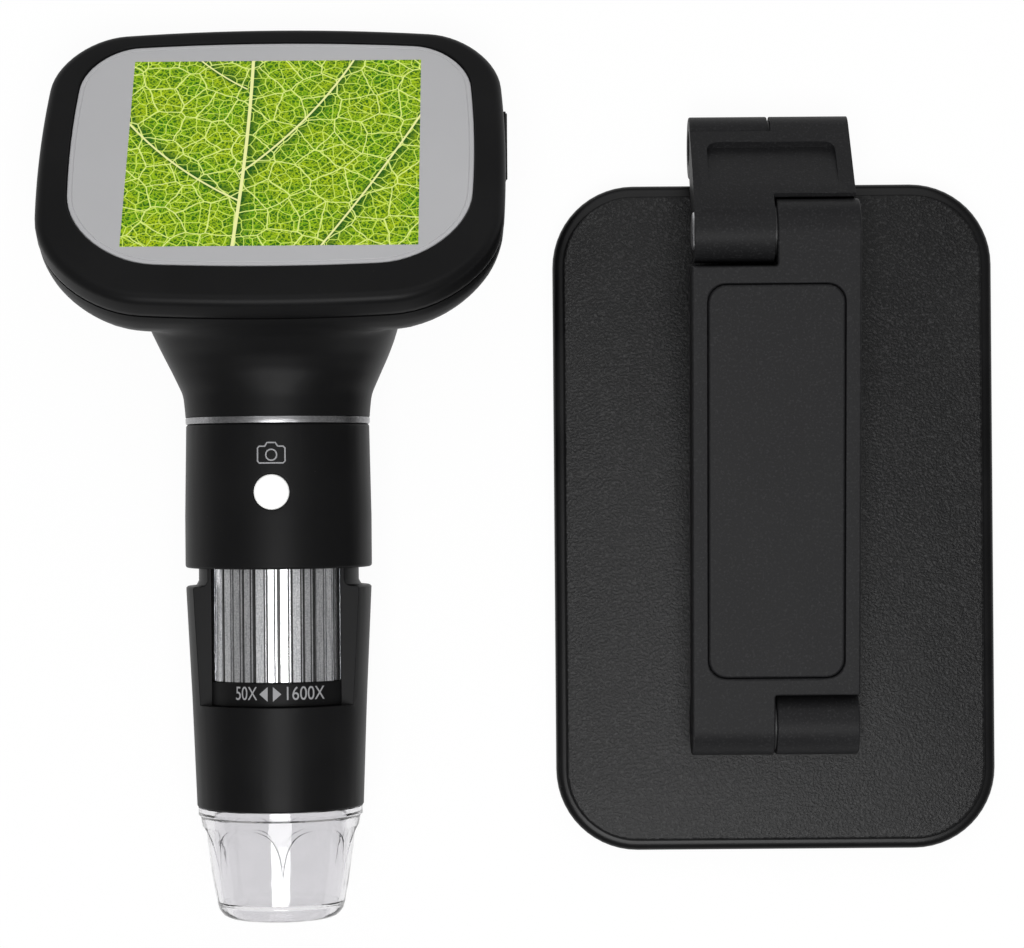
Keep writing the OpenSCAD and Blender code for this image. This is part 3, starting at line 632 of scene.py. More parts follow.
class Bench:
    """Edit-mode modelling of one mesh, in millimetres."""

    def __init__(self, name: str) -> None:
        """Puts an empty mesh on the bench."""
        self.obj = enter(name, bpy.data.meshes.new(name))
        edit(self.obj)
        bpy.ops.mesh.select_mode(type="VERT")
        self.count = 0

    def mesh(self) -> bmesh.types.BMesh:
        """The mesh as it is in edit mode."""
        bm = bmesh.from_edit_mesh(self.obj.data)
        bm.verts.ensure_lookup_table()
        return bm

    def pick(self, test: Callable[[bmesh.types.BMVert], bool]) -> None:
        """Selects the vertices that pass a test, and the edges and faces between them."""
        bm = self.mesh()
        for element in (*bm.faces, *bm.edges):
            element.select_set(False)
        for vert in bm.verts:
            vert.select_set(test(vert))
        bm.select_flush(True)
        bmesh.update_edit_mesh(self.obj.data)

    def pick_from(self, start: int) -> None:
        """Selects the vertices from number start on."""
        self.pick(lambda vert: vert.index >= start)

    def ring(self, points: Ring) -> None:
        """Adds a closed ring: a circle whose vertices are moved onto the points."""
        bpy.ops.mesh.select_all(action="DESELECT")
        bpy.ops.mesh.primitive_circle_add(vertices=len(points), radius=1)
        bm = self.mesh()
        for vert, point in zip([v for v in bm.verts if v.select], points):
            vert.co = point
        bmesh.update_edit_mesh(self.obj.data)
        self.count = len(points)

    def pick_rings(self, *indices: int) -> None:
        """Selects whole rings by number."""
        spans = [range(i * self.count, (i + 1) * self.count) for i in indices]
        self.pick(lambda vert: any(vert.index in span for span in spans))

    def skin(self, rings: Sequence[Ring], closed: bool = False) -> "Bench":
        """Bridges a row of rings; closed joins the last to the first, and otherwise both ends are capped."""
        for points in rings:
            self.ring(points)
        last = len(rings) - 1
        for i in range(len(rings) if closed else last):
            self.pick_rings(i, (i + 1) % len(rings))
            bpy.ops.mesh.bridge_edge_loops()
        if not closed:
            for end in (0, last):
                self.pick_rings(end)
                bpy.ops.mesh.edge_face_add()
        return self

    def lathe(self, profile: Sequence[Point], steps: int = 96) -> "Bench":
        """Spins a closed section of (radius, height) points round Z."""
        self.ring([Vector((r, 0, z)) for r, z in profile])
        bpy.ops.mesh.select_all(action="SELECT")
        bpy.ops.mesh.spin(steps=steps, angle=math.tau, center=(0, 0, 0), axis=(0, 0, 1))
        bpy.ops.mesh.select_all(action="SELECT")
        bpy.ops.mesh.remove_doubles(threshold=1e-4)
        return self

    def stroke(self, points: Ring, width: float) -> None:
        """Adds a flat closed line of a given width, drawn in from its outline."""
        middle = sum(points, Vector()) / len(points)
        inner = []
        for i, point in enumerate(points):
            along = (points[(i + 1) % len(points)] - points[i - 1]).normalized()
            inward = Vector((-along.y, along.x, 0))
            if inward.dot(middle - point) < 0:
                inward = -inward
            inner.append(point + inward * width)
        start = len(self.mesh().verts)
        self.ring(points)
        self.ring(inner)
        self.pick_from(start)
        bpy.ops.mesh.bridge_edge_loops()

    def thicken(self, thickness: float) -> None:
        """Gives a flat shape a thickness upwards."""
        bpy.ops.mesh.select_all(action="SELECT")
        bpy.ops.mesh.extrude_region_move(TRANSFORM_OT_translate={"value": (0, 0, thickness)})

    def done(self, matrix: Matrix | None = None) -> Object:
        """Turns the faces outwards, leaves edit mode and moves the mesh by a matrix in millimetres."""
        bpy.ops.mesh.select_all(action="SELECT")
        bpy.ops.mesh.normals_make_consistent(inside=False)
        bpy.ops.object.mode_set(mode="OBJECT")
        if matrix is not None:
            self.obj.data.transform(matrix)
        return self.obj


def cad_copy(node: str, name: str) -> Object:
    """Copies a CAD node in millimetres, with its triangles joined into large convex faces."""
    obj = enter(name, frame["nodes"][node].data.copy())
    obj.data.transform(Matrix.Scale(1 / MM, 4))
    take(obj)
    if obj.data.has_custom_normals:
        bpy.ops.mesh.customdata_custom_splitnormals_clear()
    edit(obj)
    bpy.ops.mesh.remove_doubles(threshold=SAME_PLACE)
    bpy.ops.mesh.dissolve_limited(angle_limit=math.radians(SAME_FACE))
    bpy.ops.mesh.vert_connect_concave()
    bpy.ops.object.mode_set(mode="OBJECT")
    return obj


@dataclass(frozen=True)
class Rounding:
    """How the edges of a moulded piece are rounded.

    Attributes:
        radius: the edges' radius, in millimetres.
        steps: faces across an edge.
        angle: least angle of an edge that is rounded, in degrees.
        shade: largest angle that is shaded smooth, in degrees.
    """

    radius: float
    steps: int = 3
    angle: float = 28.0
    shade: float = 32.0

    def on(self, obj: Object) -> None:
        """Rounds an object's edges and lets its large faces set the shading beside them."""
        apply(
            obj, "BEVEL", width=self.radius, segments=self.steps, limit_method="ANGLE",
            angle_limit=math.radians(self.angle), use_clamp_overlap=True, miter_outer="MITER_ARC",
        )
        smooth(obj, self.shade)
        apply(obj, "WEIGHTED_NORMAL", keep_sharp=True)


# ---------------------------------------------------------------- layout and outlines


@dataclass(frozen=True)
class Layout:
    """Frames of the sub-assemblies, in millimetres in the row."""

    face_rise: float = 136.3
    face_out: float = 10.8
    face_tilt: float = 36.0

    def barrel(self) -> Matrix:
        """Origin in the middle of the hood's rim, +Z towards the head, -Y out of the front."""
        ring_low, ring_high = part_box("trim_ring")
        middle = (ring_low + ring_high) / (2 * MM)
        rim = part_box("clear_hood")[0].y / MM
        return Matrix.Translation((middle.x, rim, middle.z)) @ Matrix.Rotation(math.radians(-90), 4, "X")

    def head(self) -> Matrix:
        """Origin in the middle of the face, +X right, +Y up the face, +Z out of it."""
        seat = Matrix.Translation((0, -self.face_out, self.face_rise))
        return self.barrel() @ seat @ Matrix.Rotation(math.radians(90 - self.face_tilt), 4, "X")

    def stand(self) -> Matrix:
        """Origin on the table under the middle of the stand plate."""
        low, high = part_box("base_shell")
        middle = (low + high) / (2 * MM)
        return Matrix.Translation((middle.x, middle.y, 0))


LAYOUT = Layout()


def arc(centre: Point, radius: float, start: float, end: float, steps: int) -> list[Point]:
    """Points on an arc, from start to end in degrees."""
    angles = [math.radians(start + (end - start) * i / steps) for i in range(steps + 1)]
    return [(centre[0] + radius * math.cos(a), centre[1] + radius * math.sin(a)) for a in angles]


def circle(centre: Point, radius: float, steps: int) -> list[Point]:
    """Points round a circle."""
    angles = [math.tau * i / steps for i in range(steps)]
    return [(centre[0] + radius * math.cos(a), centre[1] + radius * math.sin(a)) for a in angles]


def between(first: Point, second: Point, steps: int) -> list[Point]:
    """Points that part a straight line, without its ends."""
    return [
        (first[0] + (second[0] - first[0]) * i / steps, first[1] + (second[1] - first[1]) * i / steps)
        for i in range(1, steps)
    ]


@dataclass(frozen=True)
class Pillow:
    """Rounded rectangle with bowed sides.

    Attributes:
        width: size across.
        height: size upwards.
        top_r: radius of the top corners.
        low_r: radius of the bottom corners.
        bow: how far the sides, and the top and bottom, bow out.
        least_r: what the top and bottom radii keep when the outline is drawn in.
    """

    width: float
    height: float
    top_r: float
    low_r: float
    bow: Point = (0.0, 0.0)
    least_r: Point = (1.0, 1.0)

    def points(self, inset: float = 0.0, steps: int = 14) -> list[Point]:
        """The outline, drawn in by inset all round."""
        a = self.width / 2 - inset - self.bow[0]
        b = self.height / 2 - inset - self.bow[1]
        top = max(self.top_r - inset, self.least_r[0])
        low = max(self.low_r - inset, self.least_r[1])
        corners = [
            arc((a - top, b - top), top, 0, 90, steps),
            arc((top - a, b - top), top, 90, 180, steps),
            arc((low - a, low - b), low, 180, 270, steps),
            arc((a - low, low - b), low, 270, 360, steps),
        ]
        raw: list[Point] = []
        for corner, following in zip(corners, corners[1:] + corners[:1]):
            raw += corner + between(corner[-1], following[0], steps)
        return [
            (x * (1 + self.bow[0] / a * (1 - (y / b) ** 2)), y * (1 + self.bow[1] / b * (1 - (x / a) ** 2)))
            for x, y in raw
        ]

    def ring(self, matrix: Matrix, inset: float, height: float, rise: float = 0.0) -> Ring:
        """The outline as a ring at a height in a frame."""
        return [matrix @ Vector((x, y + rise, height)) for x, y in self.points(inset)]


def rounded(start: Point, end: Point, steps: int = 6) -> list[Point]:
    """(inset, height) pairs of a quarter round that leaves start along height and meets end along inset."""
    quarter = [math.pi / 2 * i / steps for i in range(steps + 1)]
    return [
        (start[0] + (end[0] - start[0]) * (1 - math.cos(t)), start[1] + (end[1] - start[1]) * math.sin(t))
        for t in quarter
    ]


# ---------------------------------------------------------------- finishes of this product


class Palette:
    """Every finish of the two products, by name; most are named for the record's slot that they fill."""

    def __init__(self) -> None:
        """Makes the materials."""
        low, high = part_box("focus_wheel")
        finishes = (
            MouldedPlastic("satin_black", (0.0048, 0.0048, 0.0051), Grain.SATIN, 0.44, 0.11),
            MouldedPlastic("grained_black", (0.002, 0.002, 0.0023), Grain.COARSE, 0.35, 0.2, 6.0),
            MouldedPlastic("fine_grained_black", (0.0115, 0.0115, 0.0123), Grain.FINE, 0.5, 0.11),
            MouldedPlastic("inner_black", (0.02, 0.02, 0.022), Grain.SATIN, 0.6),
            MouldedPlastic("white_plastic", (0.93, 0.93, 0.92), Grain.POLISHED, 0.3, 0.5),
            MouldedPlastic("pale_print", (0.29, 0.29, 0.3), Grain.POLISHED, 0.6, 0.2),
            LeafScreen("screen", LAYOUT.head().translation, -LAYOUT.face_tilt),
            RibbedMetal("wheel_metal", LAYOUT.barrel().translation, (high - low).x / (2 * MM)),
            Metal("bright_ring", (0.37, 0.37, 0.38), 0.34, 0.3, 0.02),
            Metal("steel", (0.46, 0.46, 0.47), 0.34),
            SoftSheet("washer_nylon", (0.012, 0.012, 0.013), 0.5, crease=0.8, depth=0.02),
            ClearPlastic("clear_plastic", (0.825, 0.818, 0.835)),
            ClearPlastic("lens_glass", (0.86, 0.93, 0.96), 0.02),
            CircuitBoard("board_green"),
            SoftSheet("led_white", (0.85, 0.84, 0.76), 0.4, crease=1.5, depth=0.02),
            SoftSheet("battery_foil", (0.55, 0.56, 0.59), 0.32, 0.85, 2.2, 0.08),
            SoftSheet("ribbon_amber", (0.5, 0.22, 0.05), 0.3, crease=1.2, depth=0.03),
            SoftSheet("module_grey", (0.27, 0.28, 0.3), 0.4, 0.3, 5.0, 0.02),
            SoftSheet("foot_rubber", (0.012, 0.012, 0.012), 0.75, crease=0.5, depth=0.02),
        )
        self.made = {finish.name: finish.make() for finish in finishes}

    def put(self, obj: Object, name: str) -> None:
        """Gives an object one finish and no other."""
        obj.data.materials.clear()
        obj.data.materials.append(self.made[name])

    def dress(self) -> None:
        """Gives each CAD node that still shows the finish of its record slot."""
        for part in frame["record"]["subparts"]:
            self.put(frame["nodes"][part["node"]], part["material_slot"])


# ---------------------------------------------------------------- sub-assemblies


@dataclass
class Unit:
    """A sub-assembly, whose pieces stand for CAD nodes."""

    palette: Palette

    def install(
        self, obj: Object, body: str, slot: str, node: str | None = None, finish: str | None = None
    ) -> Object:
        """Scales a finished piece to metres, gives it its finish and hands it to the frame.

        Args:
            obj: the piece, in millimetres.
            body: the CAD body that it rides on.
            slot: the record's material slot.
            node: the CAD node that it stands for.
            finish: its finish, where that isn't the slot's own.

        Returns:
            The piece.
        """
        obj.data.transform(Matrix.Scale(MM, 4))
        self.palette.put(obj, finish or slot)
        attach(obj, body)
        if node:
            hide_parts(node)
        return obj

    def remould(
        self, node: str, name: str, body: str, slot: str, rounding: Rounding, finish: str | None = None
    ) -> Object:
        """Installs a copy of a CAD node with rounded edges in the node's place.

        Args:
            node: the CAD node.
            name: the piece's name.
            body: the CAD body that it rides on.
            slot: the record's material slot.
            rounding: how its edges are rounded.
            finish: its finish, where that isn't the slot's own.

        Returns:
            The piece.
        """
        obj = cad_copy(node, name)
        rounding.on(obj)
        return self.install(obj, body, slot, node, finish)


@dataclass
class ScreenHead(Unit):
    """Tilted screen head: front shell, rear shell with the neck, window and keys."""

    outline: Pillow = Pillow(83.6, 65.2, 12, 18, (2.0, 2.4), (4.0, 6.0))
    window: Pillow = Pillow(72.4, 53, 9.5, 15, (1.6, 1.6))
    window_rise: float = 2.1
    window_seat: float = -2.0
    window_lap: float = 3.8
    depth: float = 15.0
    seam: float = -5.0
    seam_gap: float = 0.15
    wall: float = 1.8
    neck_z: float = 90.5
    screw_at: Point = (31.4, 18.0)
    screw_r: float = 2.3
    screw_sunk: float = 0.9
    key: Point = (7.4, 2.6)               # length, width
    key_edge: float = 0.2
    key_z: float = -8.2
    key_mid: float = 10.0
    usb: Triple = (7.4, 2.6, 0.6)         # length, width, lower end
    card: Triple = (11.8, 1.8, -15.0)     # the same
    slot_r: float = 0.6
    slot_reach: float = 6.0
    gap: float = 0.15
    voxel: float = 0.62
    blend: int = 7

    def build(self) -> list[Object]:
        """Builds and installs every piece of the head."""
        pieces = [self._front(), self._rear(), self._window()]
        for key in ("power", "mode"):
            node = f"{key}_button"
            pieces.append(self.remould(node, f"{key}_key", node, "satin_black", Rounding(self.key_edge)))
        return pieces

    def _front(self) -> Object:
        """Front shell: a rounded frame with a recess for the window."""
        head = LAYOUT.head()
        edge = [(0.3, self.seam), (0.1, self.seam + 0.4), (0.0, self.seam + 1.2)]
        edge += rounded((0, -1.7), (1.7, 0), steps=7)
        lip = [(-0.34, 0.0), (-0.22, -0.08), (-0.15, -0.25), (-0.15, -1.0)]
        lip += [(self.window_lap, -1.0), (self.window_lap, self.window_seat)]
        rings = [self.outline.ring(head, inset, z) for inset, z in edge]
        rings += [self.window.ring(head, inset, z, self.window_rise) for inset, z in lip]
        rings += [self.outline.ring(head, self.wall, z) for z in (self.window_seat, self.seam)]
        obj = Bench("front_shell_frame").skin(rings, closed=True).done()
        smooth(obj, angle=30)
        return self.install(obj, "microscope", "satin_black", "front_shell")

    def _rear(self) -> Object:
        """Rear shell: bowl and neck blended into one, hollowed and cut for keys, sockets and screws."""
        head = LAYOUT.head()
        bowl = [(8.1, -15.0), (5.6, -14.3), (3.4, -13.0), (1.8, -11.4)]
        bowl += [(0.7, -9.2), (0.15, -6.6), (0.1, -2.0)]
        obj = Bench("rear_shell_moulding").skin([self.outline.ring(head, i, z) for i, z in bowl]).done()
        neck = Bench("neck").skin(self._neck_rings()).done()
        take(obj)
        neck.select_set(True)
        bpy.ops.object.join()
        apply(obj, "REMESH", mode="VOXEL", voxel_size=self.voxel, use_smooth_shade=True)
        apply(obj, "SMOOTH", factor=0.5, iterations=self.blend)
        self._trim(obj, head, self.seam - self.seam_gap, 1)
        self._trim(obj, LAYOUT.barrel(), self.neck_z, -1)
        apply(obj, "SOLIDIFY", thickness=self.wall, offset=-1.0, use_even_offset=False)
        cut(obj, self._openings(head))
        smooth(obj, angle=35)
        return self.install(obj, "microscope", "satin_black", "rear_shell")

    def _trim(self, obj: Object, seat: Matrix, height: float, side: int) -> None:
        """Cuts off what lies above (side 1) or below (side -1) a height in a frame; the cut stays open."""
        edit(obj)
        bpy.ops.mesh.bisect(
            plane_co=seat @ Vector((0, 0, height)),
            plane_no=seat.to_3x3() @ Vector((0, 0, side)),
            clear_outer=True,
            clear_inner=False,
        )
        bpy.ops.object.mode_set(mode="OBJECT")

    def _neck_rings(self) -> list[Ring]:
        """Sections of the neck, from below the trim ring to inside the bowl."""
        steps = [
            # rise, half width, reach to the front and to the back, power of the front (below 1 it is squarer)
            (-3, 16.7, 16.7, 16.7, 1), (0, 16.7, 16.7, 16.7, 1), (4, 17.1, 16.8, 16.7, 1),
            (8, 18.9, 17.5, 16.7, 0.86), (11, 20.3, 18.9, 16.6, 0.76), (13.7, 21.4, 21.4, 16.5, 0.67),
            (16.3, 22.3, 25.3, 16.3, 0.6), (21, 23.3, 14.6, 15.4, 0.8), (26, 23.8, 11.2, 13.8, 1),
            (31, 23.6, 7.6, 11.4, 1), (35.5, 22.4, 4.4, 8.4, 1), (39, 20.2, 1.8, 5.4, 1),
            (41.5, 17.2, 0, 2.8, 1),
        ]
        barrel = LAYOUT.barrel()
        rings = []
        for rise, half, front, back, power in steps:
            ring = []
            for across, out in circle((0, 0), radius=1, steps=72):
                if out < 0:
                    across, out = math.copysign(abs(across) ** power, across), -(abs(out) ** power)
                place = Vector((half * across, (back - front + (back + front) * out) / 2, self.neck_z + rise))
                ring.append(barrel @ place)
            rings.append(ring)
        return rings

    def _openings(self, head: Matrix) -> list[Object]:
        """Cutters for the keys' slot, the two sockets and the four screw seats."""
        half, gap = self.outline.width / 2, self.gap
        slots = [(half - 1, self.key_mid, 2 * self.key[0] + 3 * gap, self.key[1] + 2 * gap)]
        for length, width, low in (self.usb, self.card):
            slots.append((-half, low + length / 2, length + 2 * gap, width + 2 * gap))
        tools = []
        for x, y, length, width in slots:
            slot = Pillow(length, width, self.slot_r, self.slot_r)
            turn = Matrix.Translation((x, y, self.key_z)) @ Matrix.Rotation(math.pi / 2, 4, "Y")
            turn = head @ turn @ Matrix.Rotation(math.pi / 2, 4, "Z")
            rings = [slot.ring(turn, 0, z) for z in (-self.slot_reach, self.slot_reach)]
            tools.append(Bench("slot").skin(rings).done())
        for x in (-self.screw_at[0], self.screw_at[0]):
            for y in (-self.screw_at[1], self.screw_at[1]):
                seat = [
                    [head @ Vector((*point, z)) for point in circle((x, y), self.screw_r, steps=32)]
                    for z in (-self.depth - 1, -self.depth + self.screw_sunk)
                ]
                tools.append(Bench("screw_seat").skin(seat).done())
        return tools

    def _window(self) -> Object:
        """Screen window with a rounded edge."""
        head = LAYOUT.head()
        profile = [(0.0, -0.95), *rounded((0.0, -0.5), (0.3, -0.2), steps=4)]
        profile += [(0.75, -0.2), (0.85, -0.3), (0.95, -0.2)]
        rings = [self.window.ring(head, inset, z, self.window_rise) for inset, z in profile]
        obj = Bench("screen_window").skin(rings).done()
        smooth(obj, angle=30)
        return self.install(obj, "microscope", "screen", "screen_glass")


@dataclass(frozen=True)
class CameraMark:
    """Outline of a camera, in millimetres from the mark's middle."""

    half: float = 2.55
    low: float = -1.9
    high: float = 1.3
    corner: float = 0.4
    hump: float = 0.65
    hump_half: Point = (1.2, 0.8)         # at its foot, at its top
    lens_y: float = -0.33
    lens_r: float = 1.08

    def outlines(self, step: float = 0.35) -> tuple[Ring, Ring]:
        """The body, with a point at least every step millimetres so that it can be bent, and the lens."""
        half, low, high, corner = self.half, self.low, self.high, self.corner
        right = [(half - corner, low), (half, low + corner), (half, high - corner), (half - corner, high),
                 (self.hump_half[0], high), (self.hump_half[1], high + self.hump)]
        corners = [Vector((x, y, 0)) for x, y in right + [(-x, y) for x, y in reversed(right)]]
        body: Ring = []
        for first, second in zip(corners, corners[1:] + corners[:1]):
            parts = max(1, round((second - first).length / step))
            body += [first.lerp(second, i / parts) for i in range(parts)]
        return body, [Vector((*point, 0)) for point in circle((0, self.lens_y), self.lens_r, steps=40)]


@dataclass
class Barrel(Unit):
    """Upper housing with its button and print, trim ring, lower shell and scale band."""

    shells: tuple[tuple[str, float], ...] = (  # node, edge radius
        ("upper_housing", 0.3), ("lower_shell", 0.25), ("scale_band", 0.2),
    )
    ring_z: float = 89.2
    ring_h: float = 1.3
    ring_r: float = 16.7
    ring_in: float = 14.8
    button_z: float = 77.0
    button_r: float = 3.15
    button_foot: float = 12.6
    button_top: float = 17.0
    flange: Point = (0.9, 0.8)            # overhang, thickness
    stem: Point = (1.2, 1.0)              # radius, length
    mark: CameraMark = CameraMark()
    mark_z: float = 83.9
    mark_line: float = 0.24
    cone_foot: Point = (16.9, 72.6)       # radius, height
    cone_slope: float = 0.3 / 16.3        # how much the radius shrinks upwards
    scale_z: float = 41.05
    scale_r: float = 13.9
    numbers: tuple[tuple[str, float, float], ...] = (  # text, middle, width
        ("50X", -5.23, 4.15), ("1600X", 5.55, 7.2),
    )
    number_h: float = 2.4
    arrows_x: float = -0.71
    arrow: Triple = (0.47, 1.97, 1.3)     # base and tip from the middle, half height
    print_t: float = 0.03

    def build(self) -> list[Object]:
        """Builds and installs every piece of the barrel."""
        pieces = [
            self.remould(node, f"{node}_moulding", "microscope", "satin_black", Rounding(radius))
            for node, radius in self.shells
        ]
        return [*pieces, self._ring(), self._button(), self._camera(), self._scale()]

    def _ring(self) -> Object:
        """Bright trim ring with a rounded outer face."""
        low, high, out = self.ring_z, self.ring_z + self.ring_h, self.ring_r
        profile = [
            (self.ring_in, low), (out - 0.2, low), (out - 0.06, low + 0.1), (out, low + 0.35),
            (out, high - 0.35), (out - 0.06, high - 0.1), (out - 0.2, high), (self.ring_in, high),
        ]
        obj = Bench("trim_ring_bright").lathe(profile, steps=128).done(LAYOUT.barrel())
        smooth(obj, angle=40)
        return self.install(obj, "microscope", "bright_ring", "trim_ring")

    def _button(self) -> Object:
        """Round button with a shallow dish, a soft edge and a flange under the housing."""
        top, foot, r = self.button_top, self.button_foot, self.button_r
        profile = [(0.0, top - 0.14), (r * 0.4, top - 0.12), (r * 0.75, top - 0.04)]
        profile += rounded((r, top - 0.35), (r - 0.35, top), steps=5)[::-1]
        rim, thick, stem, low = r + self.flange[0], foot + self.flange[1], self.stem[0], foot - self.stem[1]
        profile += [(r, thick), (rim, thick), (rim, foot), (stem, foot), (stem, low), (0.0, low)]
        seat = LAYOUT.barrel() @ Matrix.Translation((0, 0, self.button_z))
        seat = seat @ Matrix.Rotation(math.pi / 2, 4, "X")
        obj = Bench("snapshot_button_cap").lathe(profile, steps=64).done(seat)
        smooth(obj, angle=30)
        return self.install(obj, "snapshot_button", "white_plastic", "snapshot_button")

    def _wrap(self, obj: Object, radius: float, height: float, slope: float = 0.0) -> None:
        """Bends a flat print round the front of the barrel.

        Args:
            obj: the print, with X round the barrel and Y along it.
            radius: the barrel's radius at the print's middle.
            height: the middle's height above the hood's rim.
            slope: how much the radius shrinks per millimetre upwards.
        """
        for vert in obj.data.vertices:
            turn = vert.co.x / radius
            out = radius - slope * vert.co.y + vert.co.z
            vert.co = Vector((out * math.sin(turn), -out * math.cos(turn), height + vert.co.y))
        obj.data.transform(LAYOUT.barrel())

    def _camera(self) -> Object:
        """Outline of a camera, printed above the button."""
        bench = Bench("camera_mark")
        for outline in self.mark.outlines():
            bench.stroke(outline, self.mark_line)
        bench.thicken(self.print_t)
        obj = bench.done()
        radius = self.cone_foot[0] - self.cone_slope * (self.mark_z - self.cone_foot[1])
        self._wrap(obj, radius, self.mark_z, self.cone_slope)
        return self.install(obj, "microscope", "white_plastic", finish="pale_print")

    def _number(self, text: str, middle: float, width: float) -> Object:
        """A flat number of a given width, in the scale's plane."""
        bpy.ops.object.select_all(action="DESELECT")
        bpy.ops.object.text_add(location=(0, 0, 0))
        obj = bpy.context.object
        obj.data.body = text
        obj.data.align_x = obj.data.align_y = "CENTER"
        bpy.ops.object.convert(target="MESH")
        across, up = ([vert.co[axis] for vert in obj.data.vertices] for axis in (0, 1))
        spread, tall = max(across) - min(across), max(up) - min(up)
        fit = Matrix.Diagonal((width / spread, self.number_h / tall, 1, 1))
        obj.data.transform(Matrix.Translation((middle, 0, 0)) @ fit)
        return obj

    def _scale(self) -> Object:
        """Plain magnification numbers and two arrows on the scale band."""
        numbers = [self._number(*number) for number in self.numbers]
        bench = Bench("scale_marks")
        base, tip, half = self.arrow
        for side in (-1, 1):
            start = len(bench.mesh().verts)
            foot, point = self.arrows_x + side * base, self.arrows_x + side * tip
            bench.ring([Vector((point, 0, 0)), Vector((foot, half, 0)), Vector((foot, -half, 0))])
            bench.pick_from(start)
            bpy.ops.mesh.edge_face_add()
        marks = bench.done()
        take(marks)
        for number in numbers:
            number.select_set(True)
        bpy.ops.object.join()
        edit(marks)
        bench.thicken(self.print_t)
        self._wrap(bench.done(), self.scale_r, self.scale_z)
        return self.install(marks, "microscope", "white_plastic", finish="pale_print")


@dataclass
class FocusUnit(Unit):
    """Focus wheel with its uneven ribs."""

    def build(self) -> list[Object]:
        """Builds and installs the wheel."""
        obj = cad_copy("focus_wheel", "focus_wheel_ribbed")
        smooth(obj, angle=20)
        return [self.install(obj, "focus_wheel", "wheel_metal", "focus_wheel")]


@dataclass
class Hood(Unit):
    """Clear hood with scalloped arches."""

    rounding: Rounding = Rounding(0.3, angle=30.0, shade=40.0)

    def build(self) -> list[Object]:
        """Builds and installs the hood."""
        node = "clear_hood"
        return [self.remould(node, f"{node}_moulding", node, "clear_plastic", self.rounding)]


@dataclass
class Stand(Unit):
    """Folding stand: plate, arm, link, hinge knuckles and pins."""

    plate: Pillow = Pillow(81.4, 123.2, 15, 15)
    plate_top: float = 6.0
    plate_t: float = 1.8
    foot_h: float = 1.2
    cover_in: float = 2.2
    pin_edge: float = 0.25
    bars: tuple[tuple[str, str, float], ...] = (  # node, body, edge radius
        ("hinge_bracket", "stand_base", 0.3), ("stand_arm", "stand_arm", 0.35),
        ("stand_link", "stand_link", 0.35), ("end_swivel", "end_swivel", 0.3),
        ("arm_panel", "stand_arm", 0.2),
    )
    pins: tuple[tuple[str, str], ...] = (
        ("base_pin", "stand_base"), ("arm_pin", "stand_arm"), ("link_pin", "stand_link"),
    )

    def build(self) -> list[Object]:
        """Builds and installs every piece of the stand."""
        pieces = [self._plate()]
        for node, body, radius in self.bars:
            name, rounding = f"{node}_moulding", Rounding(radius)
            pieces.append(self.remould(node, name, body, "grained_black", rounding, "fine_grained_black"))
        for node, body in self.pins:
            pieces.append(self.remould(node, f"{node}_turned", body, "steel", Rounding(self.pin_edge)))
        return pieces

    def _plate(self) -> Object:
        """Stand plate: a shallow tray with a soft edge, open underneath for its cover."""
        top, foot = self.plate_top, self.foot_h
        edge = [(self.cover_in, top - self.plate_t), (self.cover_in, foot), (0.6, foot), (0.15, foot + 0.25)]
        edge += [(0.0, foot + 0.7), *rounded((0.0, top - 1.6), (1.7, top - 0.25), steps=7)]
        edge += [(1.95, top - 0.2), (2.2, top - 0.03), (2.5, top)]
        stand = LAYOUT.stand()
        obj = Bench("stand_plate").skin([self.plate.ring(stand, inset, z) for inset, z in edge]).done()
        smooth(obj, angle=30)
        return self.install(obj, "stand_base", "grained_black", "base_shell")


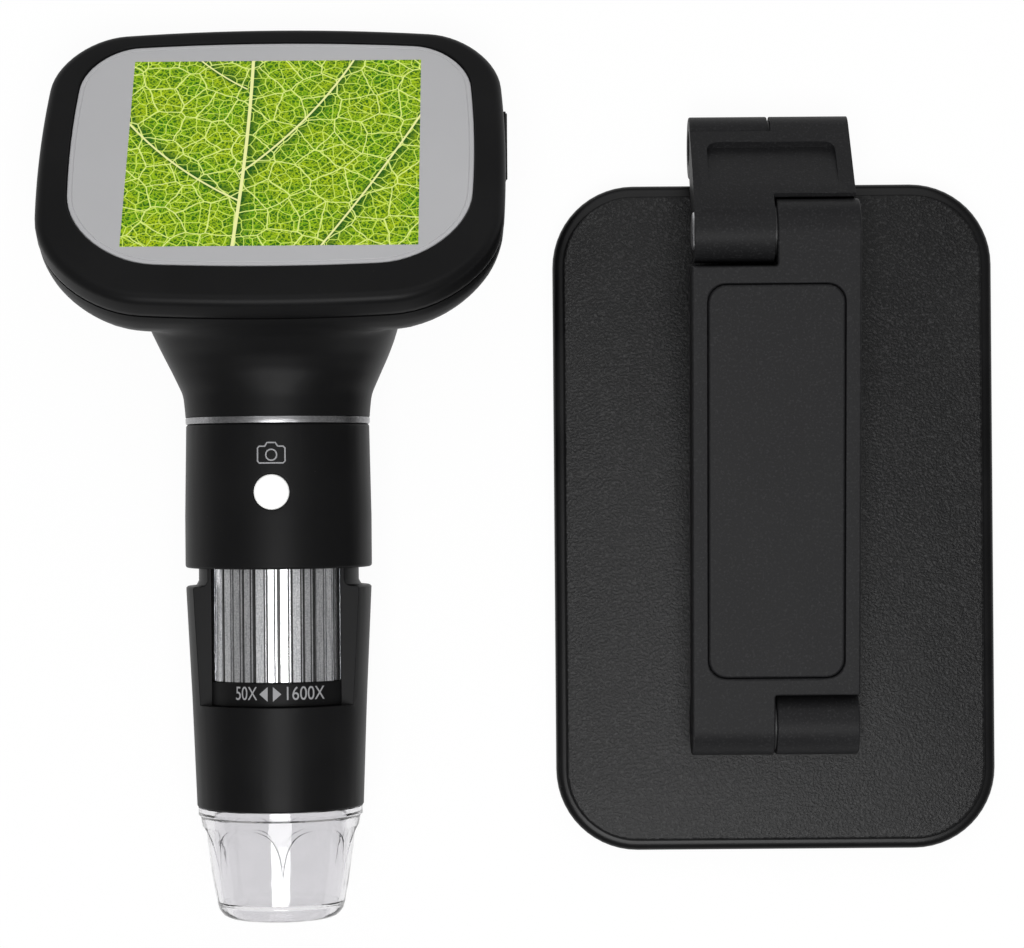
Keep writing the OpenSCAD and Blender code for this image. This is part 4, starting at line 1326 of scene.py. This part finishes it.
@dataclass
class Studio:
    """Pale floor, soft lamps and the camera."""

    distance: float = 580.0
    centre: Point = (-2.3, -1.2)
    axis_height: float = 16.9
    roll: float = -0.45
    lens: float = 112.15
    floor_size: float = 4.0
    floor_drop: float = 0.0002
    floor_colour: Colour = (0.94, 0.94, 0.94)
    floor_glow: float = 0.95
    world: float = 0.27
    lamps: tuple[tuple[str, Triple, float, float], ...] = (  # name, place and size in metres, power
        ("key", (0.0, -0.3, 0.82), 0.45, 5.2), ("fill", (0.0, 0.55, 0.7), 0.8, 2.6),
    )

    def build(self) -> None:
        """Sets up the studio."""
        self._floor()
        self._world()
        for lamp in self.lamps:
            self._lamp(*lamp)
        self._camera()
        bpy.context.scene.view_settings.view_transform = "Standard"

    def _floor(self) -> None:
        """Pale floor that shows white and keeps a faint shadow."""
        bpy.ops.object.select_all(action="DESELECT")
        bpy.ops.mesh.primitive_plane_add(size=self.floor_size, location=(0, 0, -self.floor_drop))
        floor = bpy.context.object
        floor.name = "floor"
        material = bpy.data.materials.new("floor_white")
        shader = Shader(material)
        lit = shader.rays("Camera", "Glossy", "Transmission") * self.floor_glow
        diffuse = shader.add("ShaderNodeBsdfDiffuse", {"Color": self.floor_colour})
        white = shader.add("ShaderNodeEmission", {"Color": WHITE, "Strength": 1.0})
        shader.close(shader.add("ShaderNodeMixShader", {0: lit, 1: diffuse, 2: white}))
        floor.data.materials.append(material)

    def _world(self) -> None:
        """Even grey light from all round; the camera and clear pieces see it white."""
        world = bpy.data.worlds.new("studio")
        shader = Shader(world)
        strength = shader.rays("Camera", "Transmission").most(self.world)
        light = shader.add("ShaderNodeBackground", {"Color": WHITE, "Strength": strength})
        shader.close(light, "World")
        bpy.context.scene.world = world

    def _lamp(self, name: str, place: Triple, size: float, power: float) -> None:
        """A square soft lamp aimed at the middle of the table."""
        lamp = bpy.data.lights.new(name, "AREA")
        lamp.size = size
        lamp.energy = power
        obj = enter(name, lamp)
        obj.location = place
        obj.rotation_euler = (-Vector(place)).to_track_quat("-Z", "Y").to_euler()

    def _camera(self) -> None:
        """Camera straight above, as far off as the product's perspective needs."""
        camera = enter("camera", bpy.data.cameras.new("camera"))
        camera.data.lens = self.lens
        camera.data.clip_start = 0.01
        camera.location = Vector((*self.centre, self.axis_height + self.distance)) * MM
        camera.rotation_euler = (0, 0, math.radians(self.roll))
        bpy.context.scene.camera = camera


def main() -> None:
    """Builds the sub-assemblies in order and reports each piece."""
    logging.basicConfig(level=logging.INFO, format="%(name)s: %(message)s")
    Studio().build()
    palette = Palette()
    palette.dress()
    for unit in (ScreenHead(palette), Barrel(palette), FocusUnit(palette), Hood(palette), Stand(palette)):
        for piece in unit.build():
            LOG.info("%s: %s, %d faces", type(unit).__name__, piece.name, len(piece.data.polygons))


if __name__ == "__main__":
    main()
